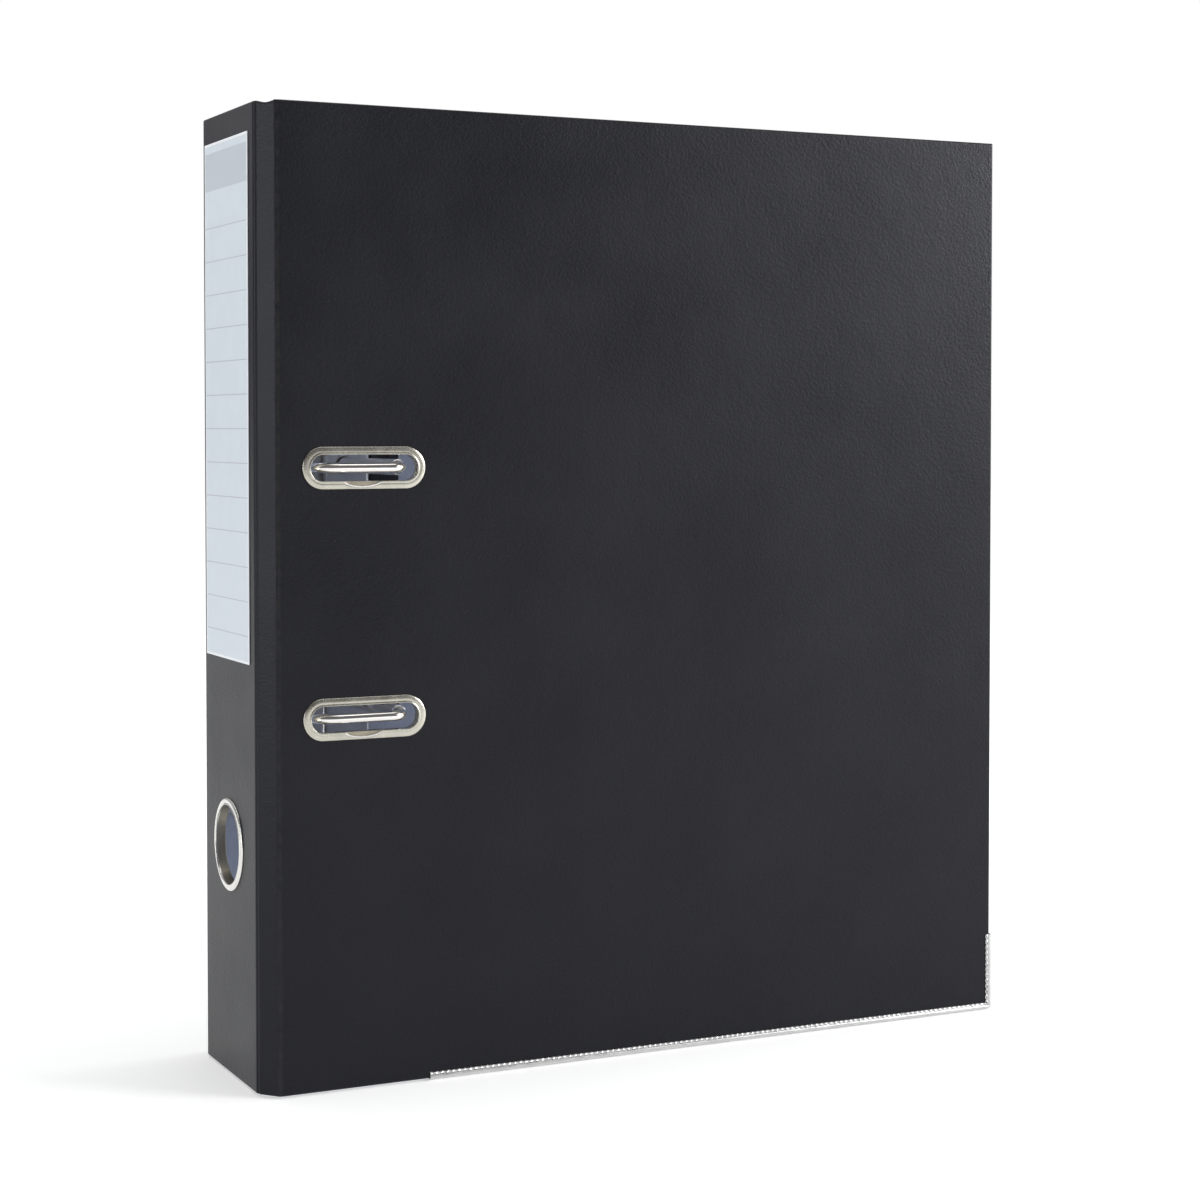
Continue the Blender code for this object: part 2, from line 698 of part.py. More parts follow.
def add_roller(pivot):
    """The roller on the lever's nose that bears on the crank."""
    half = (ROLLER_X[1] - ROLLER_X[0]) / 2
    bore = ROLLER_PIN_RADIUS + PIN_CLEARANCE
    profile = [
        (bore, half),
        (ROLLER_RADIUS - 0.0004, half),
        (ROLLER_RADIUS, half - 0.0004),
        (ROLLER_RADIUS, -half + 0.0004),
        (ROLLER_RADIUS - 0.0004, -half),
        (bore, -half),
    ]
    place = (sum(ROLLER_X) / 2, NOSE_Y, NOSE_Z)
    add_turned("lever_roller", profile, place, "+X", MATERIALS["steel"], pivot, closed=True)


def add_compressor(pivot):
    """The pressed bar that slides on the posts and holds the sheets down."""
    low = (COMPRESSOR_X[0], COMPRESSOR_TOP_Y, COMPRESSOR_Z[0])
    high = (COMPRESSOR_X[1], COMPRESSOR_TOP_Y + COMPRESSOR_DEPTH, COMPRESSOR_Z[1])
    bar = add_part("compressor_bar", box_mesh(low, high), MATERIALS["nickel"], pivot)
    sheet = COMPRESSOR_SHEET
    hollow = box_mesh(
        (low[0] + sheet, low[1] + sheet, low[2] + sheet),
        (high[0] - sheet, high[1] + 0.002, high[2] - sheet))
    combine(bar, add_helper("compressor_hollow", hollow), "DIFFERENCE")
    for level, z in RING_HEIGHTS.items():
        hole = rod_mesh((ARCH_RIGHT_X, low[1] - 0.002, z), (ARCH_RIGHT_X, high[1] + 0.002, z), 0.0031, 16)
        combine(bar, add_helper(f"post_hole_{level}", hole), "DIFFERENCE")
        for side in (-1, 1):
            middle = z + side * (CATCH_HALF_WIDTH + FIT_GAP + LUG_SHEET / 2)
            outline = [(high[0] - 0.0004, high[1]), (high[0] - 0.0004, low[1])]
            outline += arc((CATCH_PIN_X, CATCH_PIN_Y), COMPRESSOR_DEPTH / 2, -90, 90, 6)
            lug = extruded_mesh(outline, "Z", middle - LUG_SHEET / 2, middle + LUG_SHEET / 2)
            combine(bar, add_helper(f"catch_lug_{level}_{side + 1}", lug), "UNION")
        reach = CATCH_HALF_WIDTH + FIT_GAP + LUG_SHEET
        pin_hole = rod_mesh((CATCH_PIN_X, CATCH_PIN_Y, z - reach - 0.001),
                            (CATCH_PIN_X, CATCH_PIN_Y, z + reach + 0.001),
                            CATCH_PIN_RADIUS + PIN_CLEARANCE, 12)
        combine(bar, add_helper(f"catch_pin_hole_{level}", pin_hole), "DIFFERENCE")
        pin = rod_mesh((CATCH_PIN_X, CATCH_PIN_Y, z - reach), (CATCH_PIN_X, CATCH_PIN_Y, z + reach),
                       CATCH_PIN_RADIUS, 12)
        add_part(f"catch_pin_{level}", pin, MATERIALS["steel"], pivot)


def add_catch(level, pivot):
    """One locking catch: a plastic flap hinged on the compressor's edge."""
    z = RING_HEIGHTS[level]
    radius = COMPRESSOR_DEPTH / 2 - 0.0003
    outline = arc((CATCH_PIN_X, CATCH_PIN_Y), radius, 90, 270, 8)
    outline += [
        (CATCH_PIN_X + CATCH_LENGTH * 0.55, CATCH_PIN_Y - radius),
        (CATCH_PIN_X + CATCH_LENGTH, CATCH_PIN_Y - radius - 0.0012),
        (CATCH_PIN_X + CATCH_LENGTH, CATCH_PIN_Y - radius + 0.0004),
        (CATCH_PIN_X + CATCH_LENGTH * 0.55, CATCH_PIN_Y + radius * 0.3),
    ]
    mesh = extruded_mesh(outline, "Z", z - CATCH_HALF_WIDTH, z + CATCH_HALF_WIDTH)
    catch = add_part(f"compressor_catch_{level}", mesh, MATERIALS["catch"], pivot)
    bore = rod_mesh((CATCH_PIN_X, CATCH_PIN_Y, z - 0.010), (CATCH_PIN_X, CATCH_PIN_Y, z + 0.010),
                    CATCH_PIN_RADIUS + PIN_CLEARANCE, 12)
    combine(catch, add_helper(f"catch_bore_{level}", bore), "DIFFERENCE")


# ---------------------------------------------------------------- assembly

def build_case(pivots):
    """The five panels with their metal, and the label."""
    add_panel("front", 0, pivots["front_cover"], slot_cutters())
    add_panel("front_hinge", 1, pivots["front_hinge"])
    add_panel("spine", 2, pivots["spine"], [finger_hole_cutter()])
    add_panel("back_hinge", 3, pivots["back_hinge"])
    rivet_holes = rivet_cutters()
    add_panel("back", 4, pivots["back_cover"], rivet_holes)
    add_slot_rims(pivots["front_cover"])
    add_finger_ring(pivots["spine"])
    add_label(pivots["spine"])
    add_edge_shoe("front_edge_shoe", True, pivots["front_cover"])
    add_edge_shoe("back_edge_shoe", False, pivots["back_cover"])
    return rivet_holes


def build_mechanism(pivots, rivet_holes):
    """The lever arch mechanism on the back cover."""
    back = pivots["back_cover"]
    add_base_plate(back, rivet_holes)
    add_rivets(back)
    add_posts(back)
    add_lever_pivot_pin(back)
    add_arch_wire(pivots["arches"])
    add_lever_arm(pivots["lever"])
    add_roller(pivots["roller"])
    add_compressor(pivots["compressor"])
    for level in RING_HEIGHTS:
        add_catch(level, pivots[f"catch_{level}"])


def build_pivots():
    """An empty on each joint's axis, from the back cover outwards."""
    back = new_pivot("back_cover_base", Vector((0, 0, 0)))
    outline = case_outline()
    back_hinge = new_pivot("back_hinge_axis", case_point(*outline[4], 0), back)
    spine = new_pivot("spine_axis", case_point(*outline[3], 0), back_hinge)
    front_hinge = new_pivot("front_hinge_axis", case_point(*outline[2], 0), spine)
    front_cover = new_pivot("front_cover_axis", case_point(*outline[1], 0), front_hinge)
    lever_place = case_point(sum(LEVER_X) / 2, LEVER_PIVOT_Y, LEVER_PIVOT_Z)
    lever = new_pivot("lever_axis", lever_place, back)
    compressor_place = case_point(ARCH_RIGHT_X, COMPRESSOR_TOP_Y, RING_MIDDLE_Z)
    compressor = new_pivot("compressor_slide", compressor_place, back)
    pivots = {
        "back_cover": back,
        "back_hinge": back_hinge,
        "spine": spine,
        "front_hinge": front_hinge,
        "front_cover": front_cover,
        "arches": new_pivot("arch_axis", case_point(BAR_X, BAR_Y, RING_MIDDLE_Z), back),
        "lever": lever,
        "roller": new_pivot("roller_axis", case_point(sum(ROLLER_X) / 2, NOSE_Y, NOSE_Z), lever),
        "compressor": compressor,
    }
    for level, z in RING_HEIGHTS.items():
        place = case_point(CATCH_PIN_X, CATCH_PIN_Y, z)
        pivots[f"catch_{level}"] = new_pivot(f"catch_axis_{level}", place, compressor)
    return pivots


clear_scene()
PARTS = new_collection("lever_arch_file")
CUTTERS = new_collection("cutters")
MATERIALS = {
    "wrap": new_material("black_wrap", (0.022, 0.023, 0.027), 0.55),
    "board": new_material("grey_board", (0.30, 0.27, 0.23), 0.90),
    "liner": new_material("grey_liner", (0.30, 0.32, 0.38), 0.80),
    "label": new_material("label_paper", (0.70, 0.75, 0.80), 0.75),
    "nickel": new_material("nickel_plate", (0.55, 0.54, 0.50), 0.28, 1.0),
    "chrome": new_material("chrome_wire", (0.78, 0.77, 0.76), 0.10, 1.0),
    "steel": new_material("zinc_steel", (0.70, 0.70, 0.69), 0.35, 1.0),
    "catch": new_material("catch_plastic", (0.02, 0.02, 0.02), 0.45),
}
PIVOTS = build_pivots()
build_mechanism(PIVOTS, build_case(PIVOTS))
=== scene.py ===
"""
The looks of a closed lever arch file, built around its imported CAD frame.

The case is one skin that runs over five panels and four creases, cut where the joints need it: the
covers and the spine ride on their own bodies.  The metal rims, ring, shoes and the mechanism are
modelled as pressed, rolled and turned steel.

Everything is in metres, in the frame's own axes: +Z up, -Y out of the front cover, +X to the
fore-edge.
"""
import json
import math
from dataclasses import dataclass

import bmesh
import bpy
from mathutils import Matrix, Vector


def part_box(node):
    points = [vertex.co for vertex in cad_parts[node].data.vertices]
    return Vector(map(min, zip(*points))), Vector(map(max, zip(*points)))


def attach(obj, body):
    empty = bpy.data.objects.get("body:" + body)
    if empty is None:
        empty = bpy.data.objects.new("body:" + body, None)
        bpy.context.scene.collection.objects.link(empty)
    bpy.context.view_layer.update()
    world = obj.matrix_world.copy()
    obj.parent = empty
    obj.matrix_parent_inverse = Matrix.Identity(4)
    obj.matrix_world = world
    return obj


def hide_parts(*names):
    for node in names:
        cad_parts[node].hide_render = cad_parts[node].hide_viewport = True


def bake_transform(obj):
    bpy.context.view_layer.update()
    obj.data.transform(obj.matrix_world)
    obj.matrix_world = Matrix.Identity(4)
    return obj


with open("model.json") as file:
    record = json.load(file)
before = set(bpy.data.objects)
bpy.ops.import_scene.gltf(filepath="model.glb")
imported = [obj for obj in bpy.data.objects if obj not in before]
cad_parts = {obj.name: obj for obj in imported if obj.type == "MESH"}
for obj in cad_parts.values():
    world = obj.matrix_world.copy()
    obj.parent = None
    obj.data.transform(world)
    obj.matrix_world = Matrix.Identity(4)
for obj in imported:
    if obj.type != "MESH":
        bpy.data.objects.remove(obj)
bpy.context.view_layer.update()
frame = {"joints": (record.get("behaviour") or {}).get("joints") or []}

MM = 0.001
SHARP_DEGREES = 35                # edges that turn more than this look sharp

# ---------------- sizes read from the frame

JOINT_PLACES = {joint["name"]: Vector(joint["pos_m"]) for joint in frame["joints"] if joint.get("pos_m")}
FRONT_LOW, FRONT_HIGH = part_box("front_wrap")
FRONT_Y = FRONT_LOW.y
BACK_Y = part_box("back_wrap")[1].y
SPINE_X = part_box("spine_wrap")[0].x
FORE_X = FRONT_HIGH.x
BOTTOM_Z = FRONT_LOW.z
TOP_Z = FRONT_HIGH.z
BOARD_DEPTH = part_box("front_board")[1].y - FRONT_Y
PANEL_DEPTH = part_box("front_liner")[1].y - FRONT_Y

# The outer line of the case seen from above, from the front fore-edge round to the back one
CORNERS = [
    Vector((FORE_X, FRONT_Y)),
    JOINT_PLACES["front_crease_fold"].xy,
    JOINT_PLACES["front_cover_open"].xy,
    JOINT_PLACES["spine_crease_fold"].xy,
    JOINT_PLACES["spine_open"].xy,
    Vector((FORE_X, BACK_Y)),
]
FRONT, FRONT_STRIP, SPINE, BACK_STRIP, BACK = range(5)
FLATS = {"front_cover": FRONT, "spine": SPINE, "back_cover": BACK}
# Each crease's corner, and the bodies before and after it
CREASES = {
    "front_crease": (1, "front_cover", "front_hinge"),
    "front_spine_crease": (2, "front_hinge", "spine"),
    "back_spine_crease": (3, "spine", "back_hinge"),
    "back_crease": (4, "back_hinge", "back_cover"),
}
NODE_STEMS = {"front_cover": "front", "back_cover": "back"}
RIVETS = ("rivet_lower_inner", "rivet_lower_outer", "rivet_upper_inner", "rivet_upper_outer")
LEVELS = ("lower", "upper")

# ---------------- sizes chosen here

COVER_RADIUS = 2.6 * MM           # how round the creases beside the covers are
SPINE_RADIUS = 1.5 * MM           # and the ones beside the spine
CREASE_STEPS = 12
CREASE_REACH = 6.0 * MM           # how far a crease piece reaches on to a cover or the spine
BESIDE_CREASE = (0.04, 0.09, 0.15, 0.22, 0.31, 0.43, 0.58, 0.78, 1.0)    # shares of that reach
CREASE_WEAR_AND_HIGHLIGHT = 0.5                 # how much lighter the round of a cover's crease is painted: partly rubbed wear, partly a painted highlight
SPINE_GROOVE = 0.42 * MM          # pressed line where the spine's board ends
COVER_GROOVE = 0.05 * MM
GROOVE_WIDTH = 0.62 * MM
STRIP_SAG = 0.7 * MM              # how far the soft strips' top edge sags between their creases
EDGE_RADIUS = 0.6 * MM
EDGE_STEPS = 5
HOLDING = 0.4 * MM                # a loop this far inside each rounded edge keeps the flat flat
LINER_BORDER = 4.5 * MM           # the wrap's turned-in edge shows this far round the liner
LINER_GAP = 0.05 * MM
LINER_RADIUS = 0.08 * MM
RUN_MAP = "case_run"

CUT_OUTSIDE = 2.0 * MM            # how far a hole's cutter stands out of the case
CUT_INSIDE = 6.0 * MM             # and how far it reaches in

RIM_WIDTH = 2.6 * MM
FINGER_RIM_WIDTH = 2.2 * MM
RIM_CLEARANCE = 0.3 * MM
RIM_SHEET = 0.4 * MM
LIP_START_X = 11.3 * MM           # the crescent lip in each slot, from the slot's left end
LIP_LENGTH = 12.2 * MM
LIP_DIP = 1.5 * MM
LIP_BREADTH = 0.45 * MM
SHELF_TOP = 0.3 * MM              # above this, out of the cover's face, the lip's edge is painted bright as a highlight; below it the shelf is painted shade
LEAST_LIP = 0.1 * MM

LABEL_BORDER = 0.8 * MM
HEADER_TOP = 3.2 * MM             # below the label's top edge
HEADER_HEIGHT = 12.4 * MM
FIRST_LINE = 27.9 * MM
LINE_PITCH = 11.04 * MM
LINE_COUNT = 13
LINE_WIDTH = 0.34 * MM

SHOE_CORNER = 1.5 * MM
TOOTH_PITCH = 2.0 * MM
TOOTH_SAMPLES = 6
TOOTH_SLANT = 0.75                # how much of a pitch a tooth leans across the ridge

WIRE_RADIUS = 1.7 * MM
ARCH_LEFT_SHIFT = 3.2 * MM        # the arch's left leg leans in by this much at its top
ARCH_BEND = 8.0 * MM
ARCH_TIP_BEND = 4.5 * MM
FOOT_BEND = 3.0 * MM
TIP_GAP = 0.4 * MM                # between an arch's tip and its post
CRANK_REACH = 16.0 * MM
CRANK_Z = (125.0 * MM, 136.5 * MM)
CRANK_BEND = 2.5 * MM

PLATE_CORNER = 5.0 * MM
PLATE_SHEET = 1.0 * MM
# The stamped plate's flange and its raised field in mm: inset from the edge, height over the cover
PLATE_FLANGE = ((0.5, 0.0), (0.1, 0.05), (0.0, 0.3), (0.1, 0.8), (0.4, 1.0), (0.9, 1.0))
PLATE_FIELD = ((9.0, 1.0), (9.5, 1.096), (10.0, 1.4), (10.5, 1.704), (11.0, 1.8), (12.0, 1.8))
FIELD_CORNER = 12.0 * MM
LEAST_CORNER = 0.6 * MM
SADDLE_Z = (145.5 * MM, 187.5 * MM)
SADDLE_HALF = 4.0 * MM
SADDLE_WING = 6.5 * MM            # how far the saddle's wings reach from the bar's middle
SADDLE_SHEET = 0.9 * MM
SADDLE_GAP = 0.25 * MM
SADDLE_STRAP = 1.25 * MM
SADDLE_STEP = 0.4 * MM
EAR_SHEET = 1.2 * MM
EAR_GAP = 0.6 * MM
EAR_RADIUS = 3.6 * MM
# An ear's foot and its back in mm, from the flange and the pivot
EAR_FOOT = ((0.2, -4.6), (0.2, 8.0), (-1.4, 6.6))
EAR_BACK = ((-1.4, -4.0),)
RIVET_HOLE = 1.9 * MM
RIVET_FIT = 0.3 * MM              # between a rivet's shank and its hole
RIVET_LIFT = 0.3 * MM             # how far its dome starts over the plate
RIVET_DOME = 0.86                 # the dome's width as a share of the flat head's

LEVER_SHEET = 1.0 * MM
LEVER_CORNER = 1.6 * MM
PIVOT_HOLE = 1.8 * MM
NOSE_HOLE = 1.4 * MM
# The lever in mm, from its low end: distance along it, how deep its sides reach, how far its top drops
LEVER_STATIONS = ((0.0, 2.2, 1.2), (1.0, 2.5, 0.35), (3.0, 3.0, 0.0), (8.0, 3.9, 0.0), (22.0, 6.6, 0.0),
                  (48.0, 6.6, 0.0))
LEVER_DEPTH = 6.6
LEVER_NOSE = 5.2                  # mm from the channel's end to the tip of the cheeks
CHEEK_LENGTH = 22.0 * MM          # how far a cheek runs down the lever from the pivot
CHEEK_SIDES = (1.7 * MM, 6.5 * MM, 6.6 * MM)     # its top, its underside, and that beside the nose
CHEEK_NECK = 7.0 * MM
NOSE_RADIUS = 2.6 * MM
PIVOT_RADIUS = 4.0 * MM

COMPRESSOR_SHEET = 1.1 * MM
COMPRESSOR_CORNERS = (1.5 * MM, 0.8 * MM)        # outside and inside
COMPRESSOR_ROUND = 0.8 * MM
COMPRESSOR_OPENING = 5.0 * MM     # how far its hollow's cutter passes its open back
POST_HOLE = 3.1 * MM
CATCH_HALF_WIDTH = 7.0 * MM
LUG_SHEET = 1.0 * MM
LUG_GAP = 0.3 * MM
LUG_REACH = 2.4 * MM              # from the bar to the catches' pins
LUG_ROOT = 0.9 * MM               # how far a lug reaches into the bar
LUG_INSETS = (0.2 * MM, 0.1 * MM)                # from the bar's top and from its back
CATCH_HOLE = 1.0 * MM
CATCH_TIP = ((-0.4, 0.1), (0.0, 0.25), (0.0, 1.3), (-0.4, 1.6))    # in mm, from its lowest outer corner
CATCH_NECK = 0.55                 # share of its reach where a catch stops being straight
CATCH_WAIST = 0.3                 # and how far below its pin it is there, as a share of its radius
RIB_RADIUS = 0.25 * MM
RIB_INSET = 0.8 * MM
RIB_PLACES = (0.30, 0.42, 0.54)   # shares of the catch's reach

# The camera, fitted to the way the case's edges converge
CAMERA_PLACE = Vector((-0.37174, -0.75719, 0.21215))
CAMERA_YAW = 0.45259
CAMERA_PITCH = -0.02988
CAMERA_LENS = 72.167
CAMERA_SHIFT = -0.0833

FLOOR_HALF = 6.0
FLOOR_DROP = 0.2 * MM
# What the floor gives off by the object and far away, and the distances between which it rises
FLOOR_GLOW = (0.42, 0.9)
GLOW_REACH = (0.4, 2.4)
AMBIENT = 0.16
# Each softbox: name, place, what it faces, width, height, watts, colour
SOFTBOXES = (
    ("right_softbox", (1.62, -1.27, 0.74), (0.10, 0.0, 0.25), 0.7, 0.8, 34, (1.0, 1.0, 1.0)),
    ("top_softbox", (0.1, 0.2, 1.5), (0.0, 0.0, 0.1), 1.6, 1.6, 14, (1.0, 1.0, 1.0)),
    ("left_back_panel", (-0.9, 1.6, 0.95), (0.0, 0.0, 0.15), 1.3, 1.1, 2.6, (0.96, 0.94, 1.0)),
    ("left_fill", (-2.0, -0.32, 0.28), (0.0, 0.0, 0.15), 0.7, 1.3, 14, (0.93, 0.96, 1.0)),
    ("fore_edge_box", (1.6, 0.05, 0.5), (0.0, 0.0, 0.15), 0.9, 0.9, 16, (1.0, 1.0, 1.0)),
)


# ---------------- mesh helpers

def grid_mesh(rows, loop_rows=False, loop_columns=True, caps=True, uvs=None, wear_and_highlight=None):
    """A mesh over rows of points, with its faces pointing out.  Points that coincide are merged."""
    bm = bmesh.new()
    wear_and_highlight_layer = bm.verts.layers.float.new("wear_and_highlight")
    grid = [[bm.verts.new(point) for point in row] for row in rows]
    if wear_and_highlight:
        for verts, amounts in zip(grid, wear_and_highlight):
            for vert, amount in zip(verts, amounts):
                vert[wear_and_highlight_layer] = amount
    for i, k in neighbours(len(grid), loop_rows):
        for j, m in neighbours(len(grid[0]), loop_columns):
            bm.faces.new((grid[i][j], grid[i][m], grid[k][m], grid[k][j]))
    cap_grid(bm, grid, caps)
    if uvs:
        place_uvs(bm, grid, uvs)
    return mesh_from(bm)


def neighbours(count, loop):
    """Pairs of following indices, and the last with the first if they loop."""
    pairs = [(index, index + 1) for index in range(count - 1)]
    if loop:
        pairs.append((count - 1, 0))
    return pairs


def cap_grid(bm, grid, caps):
    """Close the first and the last row: with one face each, or with a strip between its two halves."""
    width = len(grid[0])
    if caps == "strip":
        for row in (grid[0], grid[-1]):
            for j in range(width // 2 - 1):
                bm.faces.new((row[j], row[j + 1], row[width - 2 - j], row[width - 1 - j]))
    elif caps:
        bm.faces.new(grid[0])
        bm.faces.new(grid[-1])


def place_uvs(bm, grid, uvs):
    """Give each vertex of a grid its place on the wrap's run."""
    uv_of = {vert: uv for verts, places in zip(grid, uvs) for vert, uv in zip(verts, places)}
    uv_layer = bm.loops.layers.uv.new(RUN_MAP)
    for face in bm.faces:
        for loop in face.loops:
            loop[uv_layer].uv = uv_of[loop.vert]


def mesh_from(bm, merge=0.002 * MM):
    """Turn a bmesh into a mesh, merged and with its faces pointing out."""
    bmesh.ops.remove_doubles(bm, verts=bm.verts, dist=merge)
    bmesh.ops.dissolve_degenerate(bm, edges=bm.edges, dist=merge)
    bmesh.ops.recalc_face_normals(bm, faces=bm.faces)
    mesh = bpy.data.meshes.new("shape")
    bm.to_mesh(mesh)
    bm.free()
    return mesh


def shade(mesh, sharp_degrees):
    """Shade a mesh smooth but for its sharp edges."""
    mesh.shade_smooth()
    mesh.set_sharp_from_angle(angle=math.radians(sharp_degrees))


def new_piece(name, mesh, finishes, sharp=SHARP_DEGREES):
    """An object for a mesh that is drawn in place, with its materials by their short names."""
    mesh.name = name
    for finish in finishes.split():
        mesh.materials.append(MATERIALS[finish])
    shade(mesh, sharp)
    piece = bpy.data.objects.new(name, mesh)
    bpy.context.scene.collection.objects.link(piece)
    return piece


def apply_modifiers(piece):
    """Replace a piece's mesh with the one its modifiers make."""
    bpy.context.view_layer.update()
    evaluated = piece.evaluated_get(bpy.context.evaluated_depsgraph_get())
    mesh = bpy.data.meshes.new_from_object(evaluated)
    piece.modifiers.clear()
    old = piece.data
    piece.data = mesh
    bpy.data.meshes.remove(old)
    mesh.name = piece.name
    shade(mesh, SHARP_DEGREES)
    return piece


def combine(piece, meshes, operation="DIFFERENCE"):
    """Cut meshes out of a piece, or join them on, and keep the result."""
    helpers = []
    for mesh in meshes:
        helper = bpy.data.objects.new("helper", mesh)
        bpy.context.scene.collection.objects.link(helper)
        modifier = piece.modifiers.new("combine", "BOOLEAN")
        modifier.operation = operation
        modifier.object = helper
        helpers.append(helper)
    apply_modifiers(piece)
    for helper in helpers:
        bpy.data.objects.remove(helper)
    return piece


def soften(piece, width, segments=3, angle=40):
    """Round a piece's sharp edges and keep the result."""
    modifier = piece.modifiers.new("soften", "BEVEL")
    modifier.width = width
    modifier.segments = segments
    modifier.limit_method = "ANGLE"
    modifier.angle_limit = math.radians(angle)
    return apply_modifiers(piece)


def ride(piece, body, slot, *nodes):
    """Put a finished piece on its body and hide the CAD nodes it stands for; the slot for its finish is not
    used.
    """
    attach(piece, body)
    if nodes:
        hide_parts(*nodes)


def make(name, mesh, finishes, body, slot, node, sharp=SHARP_DEGREES, cuts=(), rounding=()):
    """Draw a piece, cut and round it, and put it on its body in place of a CAD node."""
    piece = new_piece(name, mesh, finishes, sharp)
    if cuts:
        combine(piece, cuts)
    if rounding:
        soften(piece, *rounding)
    ride(piece, body, slot, node)


def place_of(node):
    """A CAD node's low corner, high corner and middle."""
    low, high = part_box(node)
    return low, high, (low + high) / 2


# ---------------- basic shapes

def in_metres(pairs, first_by=0.0, second_by=0.0):
    """Pairs of measures in mm as metres, each kind moved by its own amount."""
    return [(first_by + first * MM, second_by + second * MM) for first, second in pairs]


def arc(centre, radius, start_degrees, end_degrees, steps):
    """Points along an arc in a plane, both ends included."""
    points = []
    for step in range(steps + 1):
        angle = math.radians(start_degrees + (end_degrees - start_degrees) * step / steps)
        points.append((centre[0] + radius * math.cos(angle), centre[1] + radius * math.sin(angle)))
    return points


def across(axis, first, second, along):
    """The point at two flat coordinates and a distance along an axis."""
    return {"X": (along, first, second), "Y": (first, along, second), "Z": (first, second, along)}[axis]


def extruded(outline, axis, low, high):
    """A flat outline given thickness along an axis."""
    return grid_mesh([[across(axis, *point, level) for point in outline] for level in (low, high)])


def rounded_outline(low, high, radius, steps=6):
    """A rectangle with round corners between two flat points."""
    x0, y0 = (value + radius for value in low)
    x1, y1 = (value - radius for value in high)
    outline = arc((x1, y0), radius, -90, 0, steps) + arc((x1, y1), radius, 0, 90, steps)
    return outline + arc((x0, y1), radius, 90, 180, steps) + arc((x0, y0), radius, 180, 270, steps)


def rounded_box(low, high, radius):
    """A box whose four edges along Y are round."""
    return extruded(rounded_outline((low.x, low.z), (high.x, high.z), radius), "Y", low.y, high.y)


def rod(start, end, radius, steps=32):
    """A round rod between two points."""
    return tube([Vector(start), Vector(end)], radius, steps)


def tube(path, radius, steps=28):
    """A round tube along a path, its section carried without twist."""
    rows = []
    side = None
    for index, point in enumerate(path):
        ahead = path[min(index + 1, len(path) - 1)]
        behind = path[max(index - 1, 0)]
        direction = (ahead - behind).normalized()
        if side is None:
            side = direction.orthogonal().normalized()
        side = (side - direction * side.dot(direction)).normalized()
        up = direction.cross(side)
        row = []
        for step in range(steps):
            angle = math.tau * step / steps
            row.append(point + side * radius * math.cos(angle) + up * radius * math.sin(angle))
        rows.append(row)
    return grid_mesh(rows)


def turned(profile, place, axis, steps=64, closed=False):
    """A profile of (radius, height) pairs turned about a line through a place."""
    heights = {"X": Vector((1, 0, 0)), "Y": Vector((0, -1, 0)), "Z": Vector((0, 0, 1))}[axis]
    side = heights.orthogonal().normalized()
    up = heights.cross(side)
    rows = []
    for step in range(steps):
        angle = math.tau * step / steps
        spoke = side * math.cos(angle) + up * math.sin(angle)
        rows.append([Vector(place) + spoke * radius + heights * height for radius, height in profile])
    return grid_mesh(rows, loop_rows=True, loop_columns=closed, caps=False)


def filleted_path(corners, bends, steps=10):
    """A path through corners, each rounded with its own bend radius."""
    points = [Vector(corners[0])]
    for index in range(1, len(corners) - 1):
        corner = Vector(corners[index])
        back = (Vector(corners[index - 1]) - corner).normalized()
        forward = (Vector(corners[index + 1]) - corner).normalized()
        half_angle = back.angle(forward) / 2
        radius = bends[index - 1]
        reach = radius / math.tan(half_angle)
        middle = corner + (back + forward).normalized() * radius / math.sin(half_angle)
        first = corner + back * reach - middle
        last = corner + forward * reach - middle
        turn = first.angle(last)
        for step in range(steps + 1):
            share = step / steps
            mixed = first * math.sin((1 - share) * turn) + last * math.sin(share * turn)
            points.append(middle + mixed / math.sin(turn))
    points.append(Vector(corners[-1]))
    return points


# ---------------- materials

